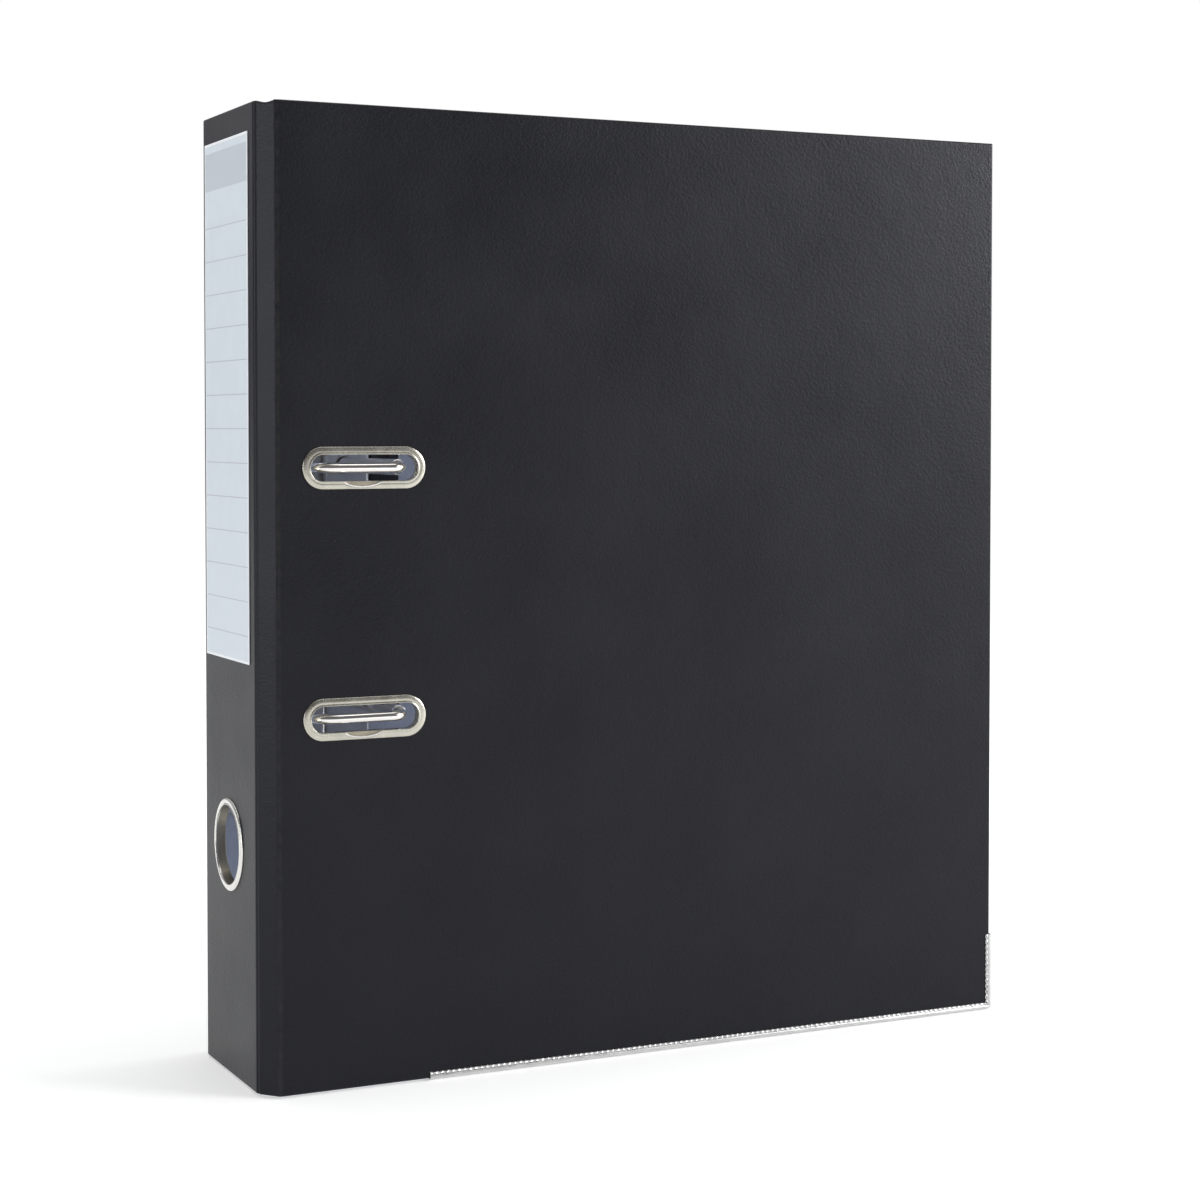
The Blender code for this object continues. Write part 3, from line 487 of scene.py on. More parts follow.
class Shader:
    """A Principled material under construction, with short ways to add what varies."""

    def __init__(self, name, colour, roughness, metallic=0.0, coordinates="object"):
        self.material = bpy.data.materials.new(name)
        self.material.use_nodes = True
        self.tree = self.material.node_tree
        self.main = self.tree.nodes["Principled BSDF"]
        self.main.inputs["Base Color"].default_value = (*colour, 1)
        self.main.inputs["Roughness"].default_value = roughness
        self.main.inputs["Metallic"].default_value = metallic
        if coordinates == "run":
            source = self.tree.nodes.new("ShaderNodeUVMap")
            source.uv_map = RUN_MAP
            self.place = source.outputs["UV"]
        else:
            self.place = self.tree.nodes.new("ShaderNodeTexCoord").outputs["Object"]

    def add(self, kind, **values):
        """A node with its properties, or its inputs by name, set."""
        node = self.tree.nodes.new("ShaderNode" + kind)
        for key, value in values.items():
            if hasattr(node, key):
                setattr(node, key, value)
            else:
                node.inputs[key.replace("_", " ")].default_value = value
        return node

    def link(self, output, target):
        """Join an output to an input."""
        self.tree.links.new(output, target)

    def stretch(self, scale):
        """The texture place, scaled along each axis."""
        node = self.add("Mapping", Scale=scale)
        self.link(self.place, node.inputs["Vector"])
        return node.outputs["Vector"]

    def noise(self, size, detail=3.0, stretch=None):
        """Noise whose blobs are about this size in metres."""
        node = self.add("TexNoise", Scale=1.0 / size, Detail=detail)
        self.link(self.stretch(stretch) if stretch else self.place, node.inputs["Vector"])
        return node.outputs["Fac"]

    def cells(self, size):
        """Soft-edged cells about this size in metres."""
        node = self.add("TexVoronoi", feature="SMOOTH_F1", Scale=1.0 / size)
        self.link(self.place, node.inputs["Vector"])
        return node.outputs["Distance"]

    def spread(self, value, low, high, low_in=0.3, high_in=0.7):
        """A value brought from one range to another."""
        node = self.add("MapRange")
        for key, number in (("From Min", low_in), ("From Max", high_in), ("To Min", low), ("To Max", high)):
            node.inputs[key].default_value = number
        self.link(value, node.inputs["Value"])
        return node.outputs["Result"]

    def mix(self, share, low, high):
        """A colour between two colours, or from a colour output to a colour."""
        node = self.add("Mix", data_type="RGBA")
        self.link(share, node.inputs[0])
        for socket, value in ((node.inputs[6], low), (node.inputs[7], high)):
            if isinstance(value, tuple):
                socket.default_value = (*value, 1)
            else:
                self.link(value, socket)
        return node.outputs[2]

    def vary(self, value, low, high):
        """A colour that wanders between two with a noise value."""
        return self.mix(self.spread(value, 0, 1), low, high)

    def math(self, operation, first, second):
        """Two values, or a value and a number, brought together."""
        node = self.add("Math", operation=operation)
        for socket, value in zip(node.inputs, (first, second)):
            if isinstance(value, (int, float)):
                socket.default_value = value
            else:
                self.link(value, socket)
        return node.outputs["Value"]

    def wear_and_highlight(self):
        """How far a point lies on a rounded edge, from 0 to 1; on a cover's crease, how much wear and
        painted highlight it takes.
        """
        return self.add("Attribute", attribute_name="wear_and_highlight").outputs["Fac"]

    def colour(self, output):
        """Let an output set the base colour."""
        self.link(output, self.main.inputs["Base Color"])

    def roughness(self, output):
        """Let an output set the roughness."""
        self.link(output, self.main.inputs["Roughness"])

    def bump(self, height, distance):
        """Surface relief of this depth in metres, on top of any bump added before."""
        node = self.add("Bump", Distance=distance)
        self.link(height, node.inputs["Height"])
        target = self.main.inputs["Normal"]
        if target.is_linked:
            self.link(target.links[0].from_socket, node.inputs["Normal"])
        self.link(node.outputs["Normal"], target)


def wrap_material():
    """Black plastic-coated paper with a fine pressed leather grain."""
    s = Shader("black_grained_wrap", (0.018, 0.019, 0.022), 0.5, coordinates="run")
    cloudy = s.noise(45 * MM, detail=2.0)
    grain = s.cells(0.8 * MM)
    fine = s.noise(0.35 * MM, detail=2.0)
    s.main.inputs["Specular IOR Level"].default_value = 0.20
    s.main.inputs["Specular Tint"].default_value = (0.92, 0.92, 1.0, 1)
    shade = s.vary(cloudy, (0.0055, 0.0058, 0.0080), (0.0078, 0.0082, 0.0108))
    speck = s.spread(s.noise(0.5 * MM, detail=1.0), 0, 0.45, 0.62, 0.78)
    flecked = s.mix(speck, shade, (0.034, 0.034, 0.038))
    # Rubbed edges are painted lighter. So is the round of each cover's crease, partly as wear and partly as
    # a painted highlight.
    worn_and_highlit = s.math("MULTIPLY", s.wear_and_highlight(), s.spread(s.noise(3 * MM), 0.15, 0.75))
    s.colour(s.mix(worn_and_highlit, flecked, (0.055, 0.054, 0.055)))
    s.roughness(s.math("ADD", s.spread(cloudy, 0.33, 0.39), s.spread(fine, -0.03, 0.04)))
    s.bump(s.noise(14 * MM, detail=2.0), 0.10 * MM)
    s.bump(grain, 0.05 * MM)
    s.bump(fine, 0.03 * MM)
    return s.material


def liner_material():
    """Matt blue-grey lining paper with faint fibres."""
    s = Shader("blue_grey_liner", (0.50, 0.54, 0.63), 0.8, coordinates="run")
    fibre = s.noise(1.2 * MM, detail=5.0, stretch=(1, 0.25, 1))
    s.colour(s.vary(fibre, (0.47, 0.505, 0.60), (0.53, 0.57, 0.66)))
    s.roughness(s.spread(fibre, 0.72, 0.88))
    s.bump(s.noise(0.6 * MM, detail=4.0), 0.03 * MM)
    return s.material


def paper_material(name, colour, dark):
    """Smooth coated label paper, a little uneven."""
    s = Shader(name, colour, 0.5)
    cloud = s.noise(6 * MM, detail=4.0)
    s.colour(s.vary(cloud, dark, colour))
    s.roughness(s.spread(cloud, 0.42, 0.55))
    s.bump(s.noise(0.4 * MM, detail=4.0), 0.012 * MM)
    return s.material


def metal_material(name, colour, dark, rough, brushed, streak=(1, 1, 1)):
    """Plated steel: a slight tarnish in the colour, and fine marks that spread the reflection."""
    s = Shader(name, colour, rough[0], metallic=1.0)
    tarnish = s.noise(5 * MM, detail=4.0)
    marks = s.noise(0.35 * MM, detail=3.0, stretch=streak)
    s.colour(s.vary(tarnish, dark, colour))
    s.roughness(s.math("ADD", s.spread(marks, rough[0], rough[1]), s.spread(tarnish, 0.0, 0.05)))
    s.bump(marks, brushed)
    return s.material


def plastic_material():
    """Black moulded plastic with a fine spark-eroded texture."""
    s = Shader("black_plastic", (0.018, 0.018, 0.019), 0.42)
    s.roughness(s.spread(s.noise(0.8 * MM, detail=3.0), 0.36, 0.50))
    s.colour(s.vary(s.noise(4 * MM), (0.014, 0.014, 0.015), (0.022, 0.022, 0.024)))
    s.bump(s.noise(0.25 * MM, detail=2.0), 0.02 * MM)
    return s.material


def build_materials():
    """Every material of the object by its short name."""
    return {
        "wrap": wrap_material(),
        "liner": liner_material(),
        "label_body": paper_material("label_paper", (0.69, 0.75, 0.80), (0.665, 0.725, 0.775)),
        "label_border": paper_material("label_border", (0.90, 0.92, 0.95), (0.87, 0.89, 0.92)),
        "label_header": paper_material("label_header", (0.555, 0.60, 0.645), (0.535, 0.58, 0.625)),
        "label_line": paper_material("label_ruling", (0.50, 0.545, 0.58), (0.48, 0.52, 0.56)),
        "nickel": metal_material("satin_nickel", (0.52, 0.50, 0.44), (0.43, 0.42, 0.36),
                                 (0.21, 0.26), 0.0015 * MM),
        # A lighter copy of the satin nickel: a painted highlight on the crescent lips' edges and the finger
        # ring's face.
        "bright_nickel": metal_material("bright_nickel", (0.78, 0.77, 0.73), (0.70, 0.69, 0.65),
                                        (0.16, 0.26), 0.0012 * MM),
        # A darker, tan copy of the satin nickel: painted shade and a painted reflection on the crescents'
        # shelves, painted shade inside the finger ring.
        "shelf": metal_material("painted_shade_nickel", (0.38, 0.345, 0.28), (0.31, 0.28, 0.22),
                                (0.34, 0.46), 0.006 * MM),
        "chrome": metal_material("chrome_wire", (0.80, 0.78, 0.76), (0.76, 0.74, 0.72),
                                 (0.07, 0.12), 0.001 * MM),
        "steel": metal_material("bright_zinc", (0.60, 0.60, 0.595), (0.52, 0.52, 0.52),
                                (0.28, 0.40), 0.006 * MM),
        "plate": metal_material("plated_steel", (0.62, 0.61, 0.60), (0.52, 0.51, 0.51),
                                (0.26, 0.38), 0.005 * MM, streak=(1, 1, 0.2)),
        "plastic": plastic_material(),
    }


# ---------------- case

@dataclass
class Station:
    """A place along the case's run: on a panel, or part of the way round a crease."""
    panel: int
    distance: float = 0.0     # from the panel's first corner
    turn: float = None        # share of the way round that corner's crease
    edge: float = 0.0         # 0 on the flat, 1 at the very edge of the board
    dip: float = 0.0          # how deep a pressed line is here


def panel_frame(panel):
    """A panel's first corner, its direction, its inward direction and its length."""
    start = CORNERS[panel]
    run = CORNERS[panel + 1] - start
    along = run.normalized()
    return start, along, Vector((along.y, -along.x)), run.length


def half_turn(corner):
    """Half the angle that the outline turns at a corner."""
    if corner in (0, len(CORNERS) - 1):
        return 0.0
    return (CORNERS[corner] - CORNERS[corner - 1]).angle(CORNERS[corner + 1] - CORNERS[corner]) / 2


def crease_radius(corner):
    """How round the outside of a crease is."""
    return SPINE_RADIUS if corner in (SPINE, BACK_STRIP) else COVER_RADIUS


def crease_tangent(corner):
    """How far from its corner a rounded crease starts."""
    return crease_radius(corner) * math.tan(half_turn(corner))


def groove_dip(corner, distance):
    """How deep the pressed line of a crease is at a distance from it."""
    groove = SPINE_GROOVE if corner in (SPINE, BACK_STRIP) else COVER_GROOVE
    return groove * math.exp(-(distance / GROOVE_WIDTH) ** 2)


def strip_sag(station):
    """How far the top edge sags at a station."""
    if station.turn is not None or station.panel not in (FRONT_STRIP, BACK_STRIP):
        return 0.0
    share = station.distance / panel_frame(station.panel)[3]
    return STRIP_SAG * math.sin(math.pi * share) ** 2


def station_point(station, depth):
    """Where a station lies in the plan, at a depth below the outer face."""
    start, along, inward, length = panel_frame(station.panel)
    if station.turn is None:
        first = depth * math.tan(half_turn(station.panel))
        last = length - depth * math.tan(half_turn(station.panel + 1))
        return start + along * min(max(station.distance, first), last) + inward * depth
    before = panel_frame(station.panel - 1)[2]
    to_inside = (before + inward) / (1 + before.dot(inward))
    radius = crease_radius(station.panel)
    if depth >= radius:
        return start + to_inside * depth
    angle = 2 * half_turn(station.panel)
    mixed = before * math.sin((1 - station.turn) * angle) + inward * math.sin(station.turn * angle)
    return start + to_inside * radius - mixed / math.sin(angle) * (radius - depth)


def station_run(station):
    """How far along the whole run a station lies."""
    base = sum(panel_frame(panel)[3] for panel in range(station.panel))
    if station.turn is None:
        return base + station.distance
    return base + (2 * station.turn - 1) * crease_tangent(station.panel)


def edge_ramp():
    """Pairs of distance from an edge and share of its rounding, from the edge inwards."""
    ramp = []
    for step in range(EDGE_STEPS + 1):
        share = math.cos(math.pi / 2 * step / EDGE_STEPS)
        ramp.append((EDGE_RADIUS * (1 - share), share))
    ramp[-1] = (EDGE_RADIUS, 0.0)
    return ramp + [(EDGE_RADIUS + HOLDING, 0.0)]


def crease_stations(corner):
    """Round one crease, with the line pressed where the board ends."""
    stations = []
    for step in range(CREASE_STEPS + 1):
        turn = step / CREASE_STEPS
        distance = (2 * turn - 1) * crease_tangent(corner)
        stations.append(Station(corner, turn=turn, dip=groove_dip(corner, distance)))
    return stations


def near_crease(panel, at_start):
    """Stations on a panel beside one of its creases, going the way of the run."""
    length = panel_frame(panel)[3]
    corner = panel if at_start else panel + 1
    tangent = crease_tangent(corner)
    reach = length / 2 if panel in (FRONT_STRIP, BACK_STRIP) else CREASE_REACH
    distances = [tangent + share * (reach - tangent) for share in BESIDE_CREASE]
    dips = [groove_dip(corner, distance) for distance in distances]
    dips[-1] = 0.0
    if at_start:
        return [Station(panel, distance, dip=dip) for distance, dip in zip(distances, dips)]
    pairs = list(zip(distances, dips))[::-1]
    return [Station(panel, length - distance, dip=dip) for distance, dip in pairs]


def bend_run(corner):
    """The stations of a crease piece, from the panel before to the panel after."""
    return near_crease(corner - 1, False) + crease_stations(corner) + near_crease(corner, True)


def flat_run(panel, border=0.0):
    """The stations of a cover's or the spine's flat piece."""
    length = panel_frame(panel)[3]
    first = [Station(panel, CREASE_REACH)]
    last = [Station(panel, length - CREASE_REACH)]
    if panel == FRONT:
        first = [Station(panel, border + distance, edge=edge) for distance, edge in edge_ramp()]
    if panel == BACK:
        ramp = reversed(edge_ramp())
        last = [Station(panel, length - border - distance, edge=edge) for distance, edge in ramp]
    return first + last


def crease_wear_and_highlight(station):
    """How much lighter the round of a cover's crease is painted: partly rubbed wear, partly a painted
    highlight.
    """
    if station.turn is None or crease_radius(station.panel) == SPINE_RADIUS:
        return 0.0
    return CREASE_WEAR_AND_HIGHLIGHT * math.sin(math.pi * station.turn)


def shell_mesh(stations, low_z, high_z, outer, inner, radius):
    """One layer of the case over some stations, rounded at its top, bottom and free edges."""
    scale = radius / EDGE_RADIUS
    ramp = [(distance * scale, edge) for distance, edge in edge_ramp()]
    levels = [(low_z + distance, edge) for distance, edge in ramp]
    levels += [(high_z - distance, edge) for distance, edge in reversed(ramp)]
    rows = []
    uvs = []
    wear_and_highlight = []
    for z, level_edge in levels:
        outside = []
        inside = []
        near_top = z > (low_z + high_z) / 2
        for station in stations:
            flatness = max(0.0, 1 - level_edge ** 2 - station.edge ** 2)
            rounding = radius * (1 - math.sqrt(flatness))
            height = z - strip_sag(station) if near_top else z
            outside.append((*station_point(station, outer + rounding + station.dip), height))
            inside.append((*station_point(station, inner - rounding), height))
        run = [(station_run(station), z) for station in stations]
        # How much lighter each point is painted: edge wear, and on the covers' creases wear with a painted
        # highlight.
        edges = [max(level_edge, station.edge, crease_wear_and_highlight(station)) for station in stations]
        rows.append(outside + inside[::-1])
        uvs.append(run + run[::-1])
        wear_and_highlight.append(edges + edges[::-1])
    return grid_mesh(rows, caps="strip", uvs=uvs, wear_and_highlight=wear_and_highlight)


def crease_blend(piece):
    """Bake a crease piece's transform into its mesh."""
    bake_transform(piece)


def node_stem(body):
    """How the CAD nodes of a case body are named."""
    return NODE_STEMS.get(body, body)


def slot_box(level):
    """The middle, length and height of a slot's opening."""
    low, high, middle = place_of(f"slot_rim_{level}")
    return middle, high.x - low.x - 2 * RIM_WIDTH, high.z - low.z - 2 * RIM_WIDTH


def stadium_path(length, height, straight_steps=24, round_steps=24):
    """Points round a slot's edge, each with its outward direction, starting at the lower left."""
    radius = height / 2
    reach = length / 2 - radius
    points = []
    for side, angle in ((1, -90), (-1, 90)):
        for step in range(straight_steps):
            x = side * (-reach + 2 * reach * step / straight_steps)
            points.append(((x, -side * radius), (0.0, -float(side))))
        for step in range(round_steps):
            turn = math.radians(angle + 180 * step / round_steps)
            outward = (math.cos(turn), math.sin(turn))
            points.append(((side * reach + radius * outward[0], radius * outward[1]), outward))
    return points


def slot_cutter(level, margin):
    """A slug that cuts a slot through the front cover."""
    middle, length, height = slot_box(level)
    outline = []
    for (x, z), outward in stadium_path(length, height):
        outline.append((middle.x + x + margin * outward[0], middle.z + z + margin * outward[1]))
    return extruded(outline, "Y", FRONT_Y - CUT_OUTSIDE, FRONT_Y + CUT_INSIDE)


def finger_cutter(margin):
    """A slug that cuts the finger hole through the spine."""
    low, high, middle = place_of("finger_ring")
    radius = (high.z - low.z) / 2 - FINGER_RIM_WIDTH + margin
    ends = (SPINE_X - CUT_OUTSIDE, SPINE_X + CUT_INSIDE)
    return rod(*((x, middle.y, middle.z) for x in ends), radius, 96)


def rivet_cutters():
    """Slugs that cut the rivet holes through the back cover."""
    slugs = []
    for name in RIVETS:
        middle = place_of(name)[2]
        ends = (BACK_Y - CUT_INSIDE, BACK_Y + CUT_OUTSIDE)
        slugs.append(rod(*((middle.x, y, middle.z) for y in ends), RIVET_HOLE, 24))
    return slugs


def holes_through(body):
    """The slugs that cut a flat piece's holes."""
    margin = RIM_SHEET + RIM_CLEARANCE
    if body == "front_cover":
        return [slot_cutter(level, margin) for level in LEVELS]
    if body == "spine":
        return [finger_cutter(margin)]
    return rivet_cutters()


def build_case():
    """The black skin and the liner, flat pieces and crease pieces."""
    build_layer("case", 0.0, BOARD_DEPTH, EDGE_RADIUS, 0.0, "wrap", ("wrap", "board"))
    start = BOARD_DEPTH + LINER_GAP
    build_layer("lining", start, PANEL_DEPTH, LINER_RADIUS, LINER_BORDER, "liner", ("liner",))


def build_layer(layer, outer, inner, radius, border, finish, nodes):
    """One layer of the case between two depths: its three flat pieces and its four creases."""
    low_z = BOTTOM_Z + border
    high_z = TOP_Z - border
    for body, panel in FLATS.items():
        mesh = shell_mesh(flat_run(panel, border), low_z, high_z, outer, inner, radius)
        piece = combine(new_piece(f"{body}_{layer}", mesh, finish), holes_through(body))
        ride(piece, body, finish, *(f"{node_stem(body)}_{node}" for node in nodes))
    for name, (corner, before, after) in CREASES.items():
        mesh = shell_mesh(bend_run(corner), low_z, high_z, outer, inner, radius)
        piece = new_piece(f"{name}_{layer}", mesh, finish)
        crease_blend(piece)
        strip = before if before.endswith("hinge") else after
        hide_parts(*(f"{strip}_{node}" for node in nodes))


# ---------------- rims and ring

# A rolled rim's section, in mm out of the face.  The bead is measured from the rim's outer edge, the
# band in shares of its width, the lip and the clinch from the opening.
RIM_BEAD = ((-0.02, 0.06), (0.0, 0.24), (-0.06, 0.38), (-0.18, 0.49), (-0.34, 0.55))
RIM_BAND = ((0.0, 0.58), (0.2, 0.645), (0.4, 0.685), (0.6, 0.70), (0.8, 0.69), (1.0, 0.68))
RIM_LIP = ((0.40, 0.74), (0.30, 0.83), (0.19, 0.86), (0.08, 0.80), (0.0, 0.62))
RIM_CLINCH = ((0.0, 0.0), (0.06, -0.22), (0.25, -0.36), (0.6, -0.42), (1.6, -0.36), (1.85, -0.22),
              (1.85, -0.04), (0.42, -0.02), (0.40, 0.10))
RIM_WALL = ((0.0, 0.30), (0.0, 0.14))
RIM_THROAT = ((0.0, -0.3),)
RIM_UNDERSIDE = ((0.40, -0.05), (0.46, 0.08))
SHELF_EDGE = ((-0.02, 0.22),)     # under the crescent lip, from its own edge
SHELF_ROOT = ((0.05, 0.14),)
BAND_INSET = 0.50 * MM            # from the rim's edges to the band
CLINCH_GAP = 0.1 * MM             # between the clinch and the liner


def rim_section(width, dip=0.0):
    """A rolled rim's section: (outwards from the opening, out of the face), from bead to clinch."""
    band = width - BAND_INSET
    lip = BAND_INSET + dip
    section = in_metres(RIM_BEAD, width)
    section += [(band + share * (lip - band), out * MM) for share, out in RIM_BAND]
    section += in_metres(RIM_LIP, dip)
    if dip > 0:
        section += in_metres(SHELF_EDGE, dip) + in_metres(SHELF_ROOT)
    else:
        section += in_metres(RIM_WALL)
    section += in_metres(RIM_THROAT)
    section += in_metres(RIM_CLINCH, second_by=-PANEL_DEPTH - CLINCH_GAP)
    return section + in_metres(RIM_UNDERSIDE)


def lip_dip(x, z, length):
    """How far the crescent lip dips at a place on a slot's edge."""
    middle = -length / 2 + LIP_START_X + LIP_LENGTH / 2
    share = (x - middle) / (LIP_LENGTH / 2)
    if z > 0 or abs(share) >= 1:
        return 0.0
    return LIP_DIP * (1 - share * share) ** 0.75


def finish_lip(mesh, middle, length, height):
    """Paint the crescent's shelf darker and tan, as painted shade and a painted reflection, and its lip's
    edge brighter, as a painted highlight.
    """
    for polygon in mesh.polygons:
        x, z = polygon.center.x - middle.x, polygon.center.z - middle.z
        out = FRONT_Y - polygon.center.y
        dip = lip_dip(x, z, length)
        reach = -z - height / 2
        if dip >= LEAST_LIP and out >= LEAST_LIP and reach <= dip + LIP_BREADTH:
            polygon.material_index = 1 if out < SHELF_TOP else 2


def build_slot_rims():
    """The oval rims of the two slots, each with its crescent lip."""
    for level in LEVELS:
        middle, length, height = slot_box(level)
        rows = []
        for (x, z), outward in stadium_path(length, height, straight_steps=72, round_steps=40):
            row = []
            for reach, out in rim_section(RIM_WIDTH, lip_dip(x, z, length)):
                place = (x + reach * outward[0], z + reach * outward[1])
                row.append((middle.x + place[0], FRONT_Y - out, middle.z + place[1]))
            rows.append(row)
        mesh = grid_mesh(rows, loop_rows=True, caps=False)
        # The crescent's shelf takes the darker nickel as painted shade and reflection, and its lip's edge
        # the lighter nickel as a painted highlight.
        rim = new_piece(f"slot_rim_{level}_rolled", mesh, "nickel shelf bright_nickel", 55)
        finish_lip(rim.data, middle, length, height)
        ride(rim, "front_cover", "nickel", f"slot_rim_{level}")


def build_finger_ring():
    """The round ring of the finger hole, turned about X."""
    low, high, middle = place_of("finger_ring")
    radius = (high.z - low.z) / 2 - FINGER_RIM_WIDTH
    profile = [(radius + reach, -out) for reach, out in rim_section(FINGER_RIM_WIDTH)]
    mesh = turned(profile, (SPINE_X, middle.y, middle.z), "X", steps=160, closed=True)
    # The ring's face takes the lighter nickel as a painted highlight, and its inner wall the darker one as
    # painted shade.
    ring = new_piece("finger_ring_rolled", mesh, "bright_nickel shelf", 55)
    for polygon in mesh.polygons:
        polygon.material_index = int(polygon.center.x > SPINE_X)
    ride(ring, "spine", "nickel", "finger_ring")


# ---------------- label

def build_label():
    """The title label: white border, blank header band and ruled lines on pale paper."""
    low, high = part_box("spine_label")
    columns = [low.y, low.y + LABEL_BORDER, high.y - LABEL_BORDER, high.y]
    header_top = high.z - HEADER_TOP
    bands = [(low.z, "border"), (low.z + LABEL_BORDER, "body")]
    for line in reversed(range(LINE_COUNT)):
        z = high.z - FIRST_LINE - line * LINE_PITCH
        bands += [(z - LINE_WIDTH / 2, "line"), (z + LINE_WIDTH / 2, "body")]
    bands += [(header_top - HEADER_HEIGHT, "header"), (header_top, "body")]
    bands.append((high.z - LABEL_BORDER, "border"))
    levels = [z for z, _ in bands] + [high.z]
    rows = [[(low.x, y, z) for y in columns] for z in levels]
    mesh = grid_mesh(rows, loop_columns=False, caps=False)
    kinds = ("border", "body", "header", "line")
    label = new_piece("spine_label_printed", mesh, " ".join(f"label_{kind}" for kind in kinds))
    for polygon in mesh.polygons:
        band = max(index for index, (z, _) in enumerate(bands) if z < polygon.center.z)
        in_border = polygon.center.y < columns[1] or polygon.center.y > columns[2]
        polygon.material_index = kinds.index("border" if in_border else bands[band][1])
    thick = label.modifiers.new("thickness", "SOLIDIFY")
    thick.thickness = high.x - low.x
    thick.offset = -1.0 if mesh.polygons[0].normal.x < 0 else 1.0
    apply_modifiers(label)
    ride(label, "spine", "label", "spine_label")


# ---------------- edge shoes

def shoe_ridge(distance, reach):
    """How high the knurled ridge stands at a distance along the shoe."""
    phase = (distance / TOOTH_PITCH + TOOTH_SLANT * reach / MM) % 1.0
    return 0.5 - 0.5 * math.cos(math.tau * phase)


# The shoe's section in mm: (in from the cover's edge, out of its outer face).  Each point of the
# knurled ridge also has the height that a tooth adds, and the back is measured from the inner face.
SHOE_RIDGE = ((2.60, 0.02, 0.20), (2.50, 0.16, 0.42), (2.28, 0.24, 0.46), (2.06, 0.24, 0.44),
              (1.88, 0.20, 0.28))
SHOE_FACE = ((1.74, 0.22), (1.60, 0.36), (1.40, 0.48), (0.90, 0.52), (0.50, 0.46), (0.22, 0.28),
             (0.05, 0.02), (0.0, -0.30))
SHOE_BACK = ((0.0, -0.10), (0.12, -0.34), (0.40, -0.47), (0.90, -0.50), (2.40, -0.48), (2.60, -0.36),
             (2.60, -0.10), (0.42, -0.10))
SHOE_INSIDE = ((0.42, 0.08), (2.55, 0.08))
SHOE_CORNER_TURNS = (18, 36, 54, 72)


def shoe_section(distance):
    """The shoe's section at a distance along it, with the ridge's teeth."""
    section = []
    for reach, base, lift in SHOE_RIDGE:
        section.append((reach * MM, (base + lift * shoe_ridge(distance, reach * MM)) * MM))
    section += in_metres(SHOE_FACE)
    section += in_metres(SHOE_BACK, second_by=-PANEL_DEPTH)
    return section + in_metres(SHOE_INSIDE)


def shoe_stations(bottom_length, side_length):
    """Places along the shoe: distance along the bottom, turn round the corner, distance up the side."""
    step = TOOTH_PITCH / TOOTH_SAMPLES
    count = int(bottom_length / step)
    stations = [(bottom_length * index / count, 0, 0.0) for index in range(count + 1)]
    stations += [(bottom_length, turn, 0.0) for turn in SHOE_CORNER_TURNS]
    count = int(side_length / step)
    return stations + [(bottom_length, 90, side_length * index / count) for index in range(count + 1)]


def shoe_place(low, high, along, turn, up, reach):
    """The x and z of a line that runs this far inside the shoe's outer edge."""
    inset = max(reach, SHOE_CORNER)
    if turn == 0:
        return min(low.x + along, high.x - inset), low.z + reach
    if turn == 90:
        return high.x - reach, low.z + max(SHOE_CORNER + up, inset)
    angle = math.radians(turn)
    radius = inset - reach
    return high.x - inset + radius * math.sin(angle), low.z + inset - radius * math.cos(angle)


def build_shoe(node, body, face_y, outward):
    """One knurled shoe along a cover's bottom edge and up the foot of its fore-edge."""
    low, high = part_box(node)
    rows = []
    for along, turn, up in shoe_stations(high.x - SHOE_CORNER - low.x, high.z - SHOE_CORNER):
        row = []
        for reach, out in shoe_section(along + up):
            x, z = shoe_place(low, high, along, turn, up, reach)
            row.append((x, face_y + outward * out, z))
        rows.append(row)
    make(f"{node}_knurled", grid_mesh(rows), "steel", body, "steel", node, sharp=50)


def build_shoes():
    """The shoes of both covers."""
    build_shoe("front_edge_shoe", "front_cover", FRONT_Y, -1)
    build_shoe("back_edge_shoe", "back_cover", BACK_Y, 1)


# ---------------- ring mechanism

def arch_frame():
    """The bar's x and y, the arch's right leg x and top y, and both ring heights."""
    low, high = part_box("arch_wire")
    bar = (low.x + WIRE_RADIUS, high.y - WIRE_RADIUS)
    rings = (low.z + WIRE_RADIUS, high.z - WIRE_RADIUS)
    return bar, high.x - WIRE_RADIUS, low.y + WIRE_RADIUS, rings


def build_arches():
    """Both arches, their bar and its crank, one bent chrome wire."""
    (bar_x, bar_y), right_x, top_y, (lower, upper) = arch_frame()
    left_x = bar_x + ARCH_LEFT_SHIFT
    crank_x = bar_x + CRANK_REACH
    tip_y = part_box("post_upper")[0].y - TIP_GAP
    arch = [(right_x, tip_y), (right_x, top_y), (left_x, top_y), (bar_x, bar_y)]
    crank = [(bar_x, CRANK_Z[1]), (crank_x, CRANK_Z[1]), (crank_x, CRANK_Z[0]), (bar_x, CRANK_Z[0])]
    corners = [(x, y, upper) for x, y in arch]
    corners += [(x, bar_y, z) for x, z in crank]
    corners += [(x, y, lower) for x, y in reversed(arch)]
    first_bends = [ARCH_TIP_BEND, ARCH_BEND, FOOT_BEND]
    bends = first_bends + [CRANK_BEND] * 4 + first_bends[::-1]
    mesh = tube(filleted_path(corners, bends), WIRE_RADIUS)
    make("arch_wire_bent", mesh, "chrome", "arches", "chrome", "arch_wire", rounding=(0.35 * MM, 3, 60))


POST_SWAGE = 0.5 * MM             # how far a post's foot stands out from its side
# A post's profile in mm: the hollow in its end from its middle and its top, the rim of that end from
# its side and its top, and its swaged foot from its side and the plate
POST_HOLLOW = ((0.0, -1.6), (0.9, -1.4), (1.75, -0.25))
POST_RIM = ((-0.55, 0.0), (-0.30, -0.02), (-0.08, -0.22), (0.0, -0.55))
POST_FOOT = ((0.0, 2.2), (0.12, 1.8), (0.4, 1.5), (0.5, 1.2), (0.5, 0.0))


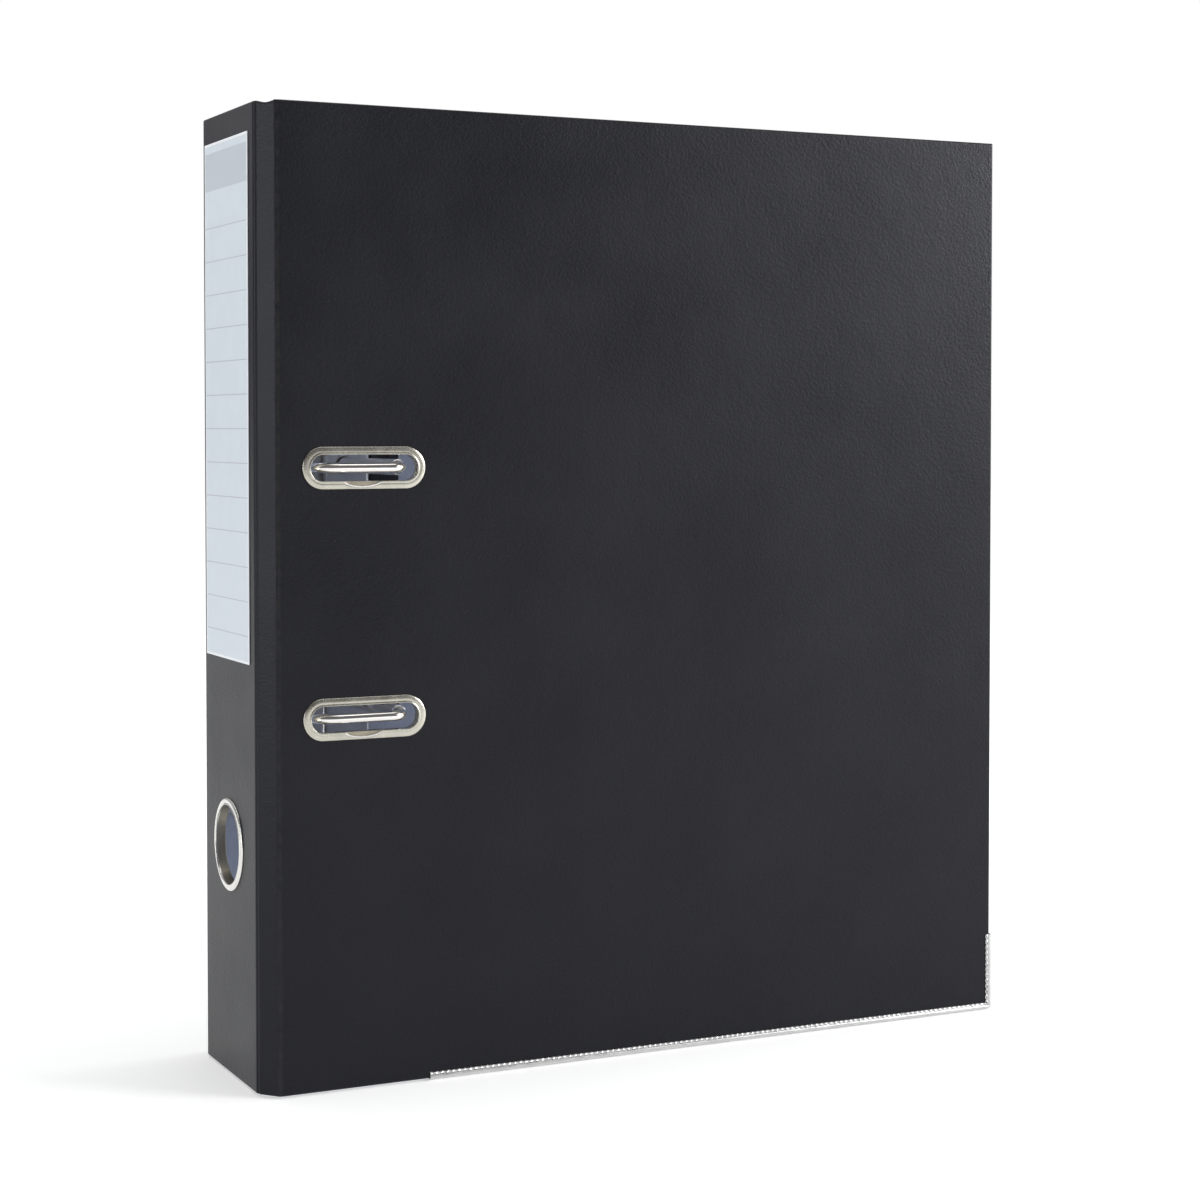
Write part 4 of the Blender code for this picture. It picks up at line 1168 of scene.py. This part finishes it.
def build_posts():
    """The two posts, each with a chamfered open end and a swaged foot."""
    for level in LEVELS:
        low, high, middle = place_of(f"post_{level}")
        height = high.y - low.y
        radius = (high.x - low.x) / 2 - POST_SWAGE
        profile = in_metres(POST_HOLLOW, 0.0, height) + in_metres(POST_RIM, radius, height)
        profile += in_metres(POST_FOOT, radius) + [(0.0, 0.0)]
        mesh = turned(profile, (middle.x, high.y, middle.z), "Y")
        make(f"post_{level}_turned", mesh, "chrome", "back_cover", "chrome", f"post_{level}", sharp=50)


def build_rivets():
    """The four rivets, domed inside and flat-headed outside."""
    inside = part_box("base_plate")[1].y - PLATE_SHEET - RIVET_LIFT
    outside = BACK_Y + 0.1 * MM
    shank = RIVET_HOLE - RIVET_FIT
    turns = [math.radians(15 * step) for step in range(1, 7)]
    for name in RIVETS:
        low, high, middle = place_of(name)
        head = (high.x - low.x) / 2
        dome = inside - low.y
        depth = high.y - outside
        profile = [(0.0, dome)]
        profile += [(head * RIVET_DOME * math.sin(turn), dome * math.cos(turn)) for turn in turns]
        profile += [(shank, 0.0), (shank, inside - outside), (head, inside - outside)]
        for turn in turns:
            profile.append((head * math.cos(turn) ** 0.8, inside - outside - depth * math.sin(turn)))
        profile[-1] = (0.0, inside - high.y)
        mesh = turned(profile, (middle.x, inside, middle.z), "Y", steps=40)
        make(f"{name}_headed", mesh, "nickel", "back_cover", "nickel", name, sharp=40)


def plate_rows(table, corner):
    """Rounded rectangles over the back cover, one for each inset and height in a table."""
    low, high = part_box("base_plate")
    rows = []
    for inset, height in in_metres(table):
        radius = max(corner - inset, LEAST_CORNER)
        outline = rounded_outline((low.x + inset, low.z + inset), (high.x - inset, high.z - inset), radius)
        rows.append([(x, high.y - height, z) for x, z in outline])
    return rows


def build_base_plate():
    """The stamped plate: a flat flange, a raised field, two saddles and the lever's two ears."""
    rows = plate_rows(PLATE_FLANGE, PLATE_CORNER) + plate_rows(PLATE_FIELD, FIELD_CORNER)
    make("base_plate_stamped", grid_mesh(rows), "plate", "back_cover", "nickel", "base_plate",
         sharp=30, cuts=rivet_cutters())
    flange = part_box("base_plate")[1].y - PLATE_SHEET
    build_saddles(flange)
    build_ears(flange)


def build_saddles(flange):
    """The two straps that hold the bar down on the plate."""
    (bar_x, bar_y), _, _, _ = arch_frame()
    inner = WIRE_RADIUS + SADDLE_GAP
    outer = inner + SADDLE_STRAP
    foot = outer + SADDLE_STEP
    top = flange - SADDLE_SHEET
    outline = [(bar_x - SADDLE_WING, flange), (bar_x - SADDLE_WING, top), (bar_x - foot, top)]
    outline += arc((bar_x, bar_y), outer, 180, 360, 16)
    outline += [(bar_x + foot, top), (bar_x + SADDLE_WING, top), (bar_x + SADDLE_WING, flange)]
    outline += [(bar_x + inner, flange), *arc((bar_x, bar_y), inner, 360, 180, 16)]
    outline.append((bar_x - inner, flange))
    for level, z in zip(LEVELS, SADDLE_Z):
        mesh = extruded(outline, "Z", z - SADDLE_HALF, z + SADDLE_HALF)
        make(f"bar_saddle_{level}", mesh, "plate", "back_cover", "nickel", "base_plate",
             rounding=(0.25 * MM, 3, 50))


def lever_frame():
    """The lever's pivot, its nose and its two side faces."""
    pivot = JOINT_PLACES["lever_lift"]
    nose = JOINT_PLACES["roller_spin"]
    low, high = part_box("lever_arm")
    return pivot, nose, low, high


def cross_rod(low_x, high_x, place, radius):
    """A slug along X through a place, a little longer than what it cuts."""
    return rod((low_x - MM, place.y, place.z), (high_x + MM, place.y, place.z), radius)


def build_ears(flange):
    """The two ears that carry the lever's pivot pin."""
    pivot, _, low, high = lever_frame()
    outline = in_metres(EAR_FOOT, flange, pivot.z)
    outline += arc((pivot.y, pivot.z), EAR_RADIUS, 60, 300, 24)
    outline += in_metres(EAR_BACK, flange, pivot.z)
    for side, low_x in (("inner", low.x - EAR_GAP - EAR_SHEET), ("outer", high.x + EAR_GAP)):
        high_x = low_x + EAR_SHEET
        make(f"lever_ear_{side}", extruded(outline, "X", low_x, high_x), "plate", "back_cover", "nickel",
             "base_plate", cuts=[cross_rod(low_x, high_x, pivot, PIVOT_HOLE)], rounding=(0.2 * MM, 3, 50))


def lever_section(low, high, top_y, skirt):
    """The lever's channel section at one height, from skirt to skirt and back inside."""
    half = (high.x - low.x) / 2
    middle = (high.x + low.x) / 2
    outer = [(-half, top_y + skirt)]
    outer += arc((LEVER_CORNER - half, top_y + LEVER_CORNER), LEVER_CORNER, 180, 270, 6)
    inner_radius = LEVER_CORNER - LEVER_SHEET
    inner_half = half - LEVER_SHEET
    inner = [(-inner_half, top_y + skirt)]
    inner_top = top_y + LEVER_SHEET + inner_radius
    inner += arc((inner_radius - inner_half, inner_top), inner_radius, 180, 270, 6)
    outer += [(-x, y) for x, y in reversed(outer)]
    inner += [(-x, y) for x, y in reversed(inner)]
    return [(middle + x, y) for x, y in outer + inner[::-1]]


def build_lever():
    """The pressed channel lever and its cheeks."""
    pivot, _, low, high = lever_frame()
    rows = []
    end = (high.z / MM - low.z / MM - LEVER_NOSE, LEVER_DEPTH, 0.0)
    for distance, skirt, drop in (*LEVER_STATIONS, end):
        section = lever_section(low, high, low.y + drop * MM, (skirt - drop) * MM)
        rows.append([(x, y, low.z + distance * MM) for x, y in section])
    make("lever_channel", grid_mesh(rows), "plate", "lever", "nickel", "lever_arm", sharp=40,
         cuts=[cross_rod(low.x, high.x, pivot, PIVOT_HOLE)], rounding=(0.18 * MM, 2, 60))
    build_cheeks()


def build_cheeks():
    """The two flat cheeks that carry the pivot and the roller at the lever's nose."""
    pivot, nose, low, high = lever_frame()
    heights = (pivot.z - CHEEK_LENGTH, pivot.z - CHEEK_LENGTH, nose.z - CHEEK_NECK)
    outline = [(low.y + side, z) for side, z in zip(CHEEK_SIDES, heights)]
    outline += arc((nose.y, nose.z), NOSE_RADIUS, -95, 50, 14)
    outline += arc((pivot.y, pivot.z), PIVOT_RADIUS, 50, 150, 14)
    for side, low_x in (("inner", low.x), ("outer", high.x - LEVER_SHEET)):
        high_x = low_x + LEVER_SHEET
        holes = [cross_rod(low_x, high_x, pivot, PIVOT_HOLE), cross_rod(low_x, high_x, nose, NOSE_HOLE)]
        make(f"lever_cheek_{side}", extruded(outline, "X", low_x, high_x), "plate", "lever", "nickel",
             "lever_arm", cuts=holes, rounding=(0.18 * MM, 2, 50))


# A pin's head and its plain end: share of the radius, mm from the end
PIN_HEAD = ((0.0, 0.0), (0.6, -0.12), (0.92, -0.35), (1.0, -0.8))
PIN_END = ((0.0, 0.0), (0.7, -0.03), (1.0, -0.25))
UNDER_HEAD = 0.82 * MM
# Each pin: node, body, axis, radius, radius of its head
PINS = (
    ("lever_pivot_pin", "back_cover", "X", 1.5 * MM, 2.4 * MM),
    ("roller_pin", "lever", "X", 1.1 * MM, 0.0),
    ("catch_pin_lower", "compressor", "Z", 0.8 * MM, 0.0),
    ("catch_pin_upper", "compressor", "Z", 0.8 * MM, 0.0),
)


def build_pins():
    """The lever's pivot pin, the roller's pin and the catches' pins, with domed ends."""
    for node, body, axis, radius, head in PINS:
        low, high, middle = place_of(node)
        reach = (high.x - low.x) / 2 if axis == "X" else (high.z - low.z) / 2
        width, end = (head, PIN_HEAD) if head else (radius, PIN_END)
        profile = [(width * share, reach + below * MM) for share, below in end]
        if head:
            profile.append((radius, reach - UNDER_HEAD))
        mesh = turned(profile + [(r, -h) for r, h in reversed(profile)], middle, axis, steps=32)
        make(f"{node}_turned", mesh, "steel", body, "steel", node, sharp=45)


# The roller's profile in mm: its bore and its rim from its flat side, its waist from its middle
ROLLER_BORE = ((0.0, -0.1), (0.15, 0.0))
ROLLER_RIM = ((-0.6, 0.0), (-0.18, -0.16), (0.0, -0.6))
ROLLER_WAIST = ((0.0, 0.5), (-0.12, 0.3))


def build_roller():
    """The roller on the lever's nose, with rounded rims and a waist line."""
    low, high, middle = place_of("lever_roller")
    half = (high.x - low.x) / 2
    radius = (high.z - low.z) / 2
    side = in_metres(ROLLER_BORE, NOSE_HOLE, half) + in_metres(ROLLER_RIM, radius, half)
    side += in_metres(ROLLER_WAIST, radius)
    mesh = turned(side + [(r, -h) for r, h in reversed(side)], middle, "X", closed=True)
    make("lever_roller_turned", mesh, "steel", "roller", "steel", "lever_roller", sharp=45)


def build_compressor():
    """The pressed bar that slides on the posts: a rounded channel with lugs for the catches."""
    low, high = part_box("compressor_bar")
    _, right_x, _, rings = arch_frame()
    pin = place_of("catch_pin_upper")[2]
    edge_x = pin.x - LUG_REACH
    edge = Vector((edge_x, high.y, high.z))
    bar = new_piece("compressor_channel", rounded_box(low, edge, COMPRESSOR_CORNERS[0]), "plate")
    soften(bar, COMPRESSOR_ROUND, segments=4, angle=60)
    sheet = Vector((COMPRESSOR_SHEET,) * 3)
    open_back = Vector((0, COMPRESSOR_OPENING, 0))
    cutters = [rounded_box(low + sheet, edge - sheet + open_back, COMPRESSOR_CORNERS[1])]
    ends = (low.y - CUT_OUTSIDE, high.y + CUT_OUTSIDE)
    cutters += [rod(*((right_x, y, z) for y in ends), POST_HOLE, 48) for z in rings]
    combine(bar, cutters)
    ride(bar, "compressor", "nickel", "compressor_bar")
    root_x = edge_x - LUG_ROOT
    outline = [(root_x, high.y - LUG_INSETS[1]), (root_x, low.y + LUG_INSETS[0])]
    outline += arc((pin.x, pin.y), (high.y - low.y) / 2, -90, 90, 12)
    for level, z in zip(LEVELS, rings):
        for end, side in (("below", -1), ("above", 1)):
            middle = z + side * (CATCH_HALF_WIDTH + LUG_GAP + LUG_SHEET / 2)
            mesh = extruded(outline, "Z", middle - LUG_SHEET / 2, middle + LUG_SHEET / 2)
            make(f"catch_lug_{level}_{end}", mesh, "plate", "compressor", "nickel", "compressor_bar",
                 rounding=(0.15 * MM, 2, 50))


def build_catches():
    """The two black locking catches, each with three grip ribs."""
    for level in LEVELS:
        low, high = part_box(f"compressor_catch_{level}")
        pin = place_of(f"catch_pin_{level}")[2]
        radius = pin.x - low.x
        reach = high.x - pin.x
        outline = arc((pin.x, pin.y), radius, 90, 270, 16)
        neck = pin.x + reach * CATCH_NECK
        outline.append((neck, pin.y - radius))
        outline += in_metres(CATCH_TIP, high.x, low.y)
        outline.append((neck, pin.y + radius * CATCH_WAIST))
        mesh = extruded(outline, "Z", low.z, high.z)
        catch = new_piece(f"compressor_catch_{level}_moulded", mesh, "plastic")
        combine(catch, [rod((pin.x, pin.y, low.z - MM), (pin.x, pin.y, high.z + MM), CATCH_HOLE, 24)])
        soften(catch, 0.12 * MM, segments=2, angle=50)
        ribs = []
        for share in RIB_PLACES:
            ends = (low.z + RIB_INSET, high.z - RIB_INSET)
            ribs.append(rod(*((pin.x + reach * share, pin.y - radius, z) for z in ends), RIB_RADIUS, 12))
        combine(catch, ribs, "UNION")
        ride(catch, f"catch_{level}", "catch", f"compressor_catch_{level}")


# ---------------- studio

def build_floor():
    """A plain pale floor."""
    signs = ((-1, -1), (1, -1), (1, 1), (-1, 1))
    mesh = bpy.data.meshes.new("floor")
    mesh.from_pydata([(x * FLOOR_HALF, y * FLOOR_HALF, -FLOOR_DROP) for x, y in signs], [], [(0, 1, 2, 3)])
    s = Shader("pale_floor", (0.85, 0.85, 0.85), 0.8)
    s.main.inputs["Emission Color"].default_value = (1, 1, 1, 1)
    distance = s.add("VectorMath", operation="LENGTH")
    s.link(s.place, distance.inputs[0])
    glow = s.spread(distance.outputs["Value"], *FLOOR_GLOW, *GLOW_REACH)
    s.link(glow, s.main.inputs["Emission Strength"])
    mesh.materials.append(s.material)
    floor = bpy.data.objects.new("floor", mesh)
    bpy.context.scene.collection.objects.link(floor)


def build_world():
    """White surroundings to look at, and dimmer ones to be lit by."""
    world = bpy.data.worlds.new("studio")
    world.use_nodes = True
    bpy.context.scene.world = world
    tree = world.node_tree
    seen = tree.nodes["Background"]
    seen.inputs["Color"].default_value = (1, 1, 1, 1)
    seen.inputs["Strength"].default_value = 1.0
    lit_by = tree.nodes.new("ShaderNodeBackground")
    lit_by.inputs["Color"].default_value = (1, 1, 1, 1)
    lit_by.inputs["Strength"].default_value = AMBIENT
    path = tree.nodes.new("ShaderNodeLightPath")
    mixer = tree.nodes.new("ShaderNodeMixShader")
    tree.links.new(path.outputs["Is Camera Ray"], mixer.inputs[0])
    tree.links.new(lit_by.outputs[0], mixer.inputs[1])
    tree.links.new(seen.outputs[0], mixer.inputs[2])
    tree.links.new(mixer.outputs[0], tree.nodes["World Output"].inputs["Surface"])


def aim(holder, place, direction):
    """Put a light or a camera in its place, looking in a direction."""
    holder.location = place
    holder.rotation_mode = "QUATERNION"
    holder.rotation_quaternion = direction.to_track_quat("-Z", "Y")
    bpy.context.scene.collection.objects.link(holder)


def build_lights():
    """Plain soft studio light."""
    for name, place, target, width, height, watts, colour in SOFTBOXES:
        light = bpy.data.lights.new(name, "AREA")
        light.shape = "RECTANGLE"
        light.size = width
        light.size_y = height
        light.energy = watts
        light.color = colour
        lamp = bpy.data.objects.new(name, light)
        lamp.visible_camera = False
        aim(lamp, place, Vector(target) - Vector(place))


def build_camera():
    """The camera at the photograph's angle."""
    camera = bpy.data.cameras.new("camera")
    camera.lens = CAMERA_LENS
    camera.sensor_width = 36.0
    camera.shift_y = CAMERA_SHIFT
    camera.clip_start = 0.01
    holder = bpy.data.objects.new("camera", camera)
    level = math.cos(CAMERA_PITCH)
    ahead = (math.sin(CAMERA_YAW) * level, math.cos(CAMERA_YAW) * level, math.sin(CAMERA_PITCH))
    aim(holder, CAMERA_PLACE, Vector(ahead))
    bpy.context.scene.camera = holder
    bpy.context.scene.view_settings.view_transform = "Standard"


# ---------------- assembly

MATERIALS = build_materials()
build_case()
build_slot_rims()
build_finger_ring()
build_label()
build_shoes()
build_arches()
build_posts()
build_rivets()
build_base_plate()
build_lever()
build_pins()
build_roller()
build_compressor()
build_catches()
build_floor()
build_world()
build_lights()
build_camera()
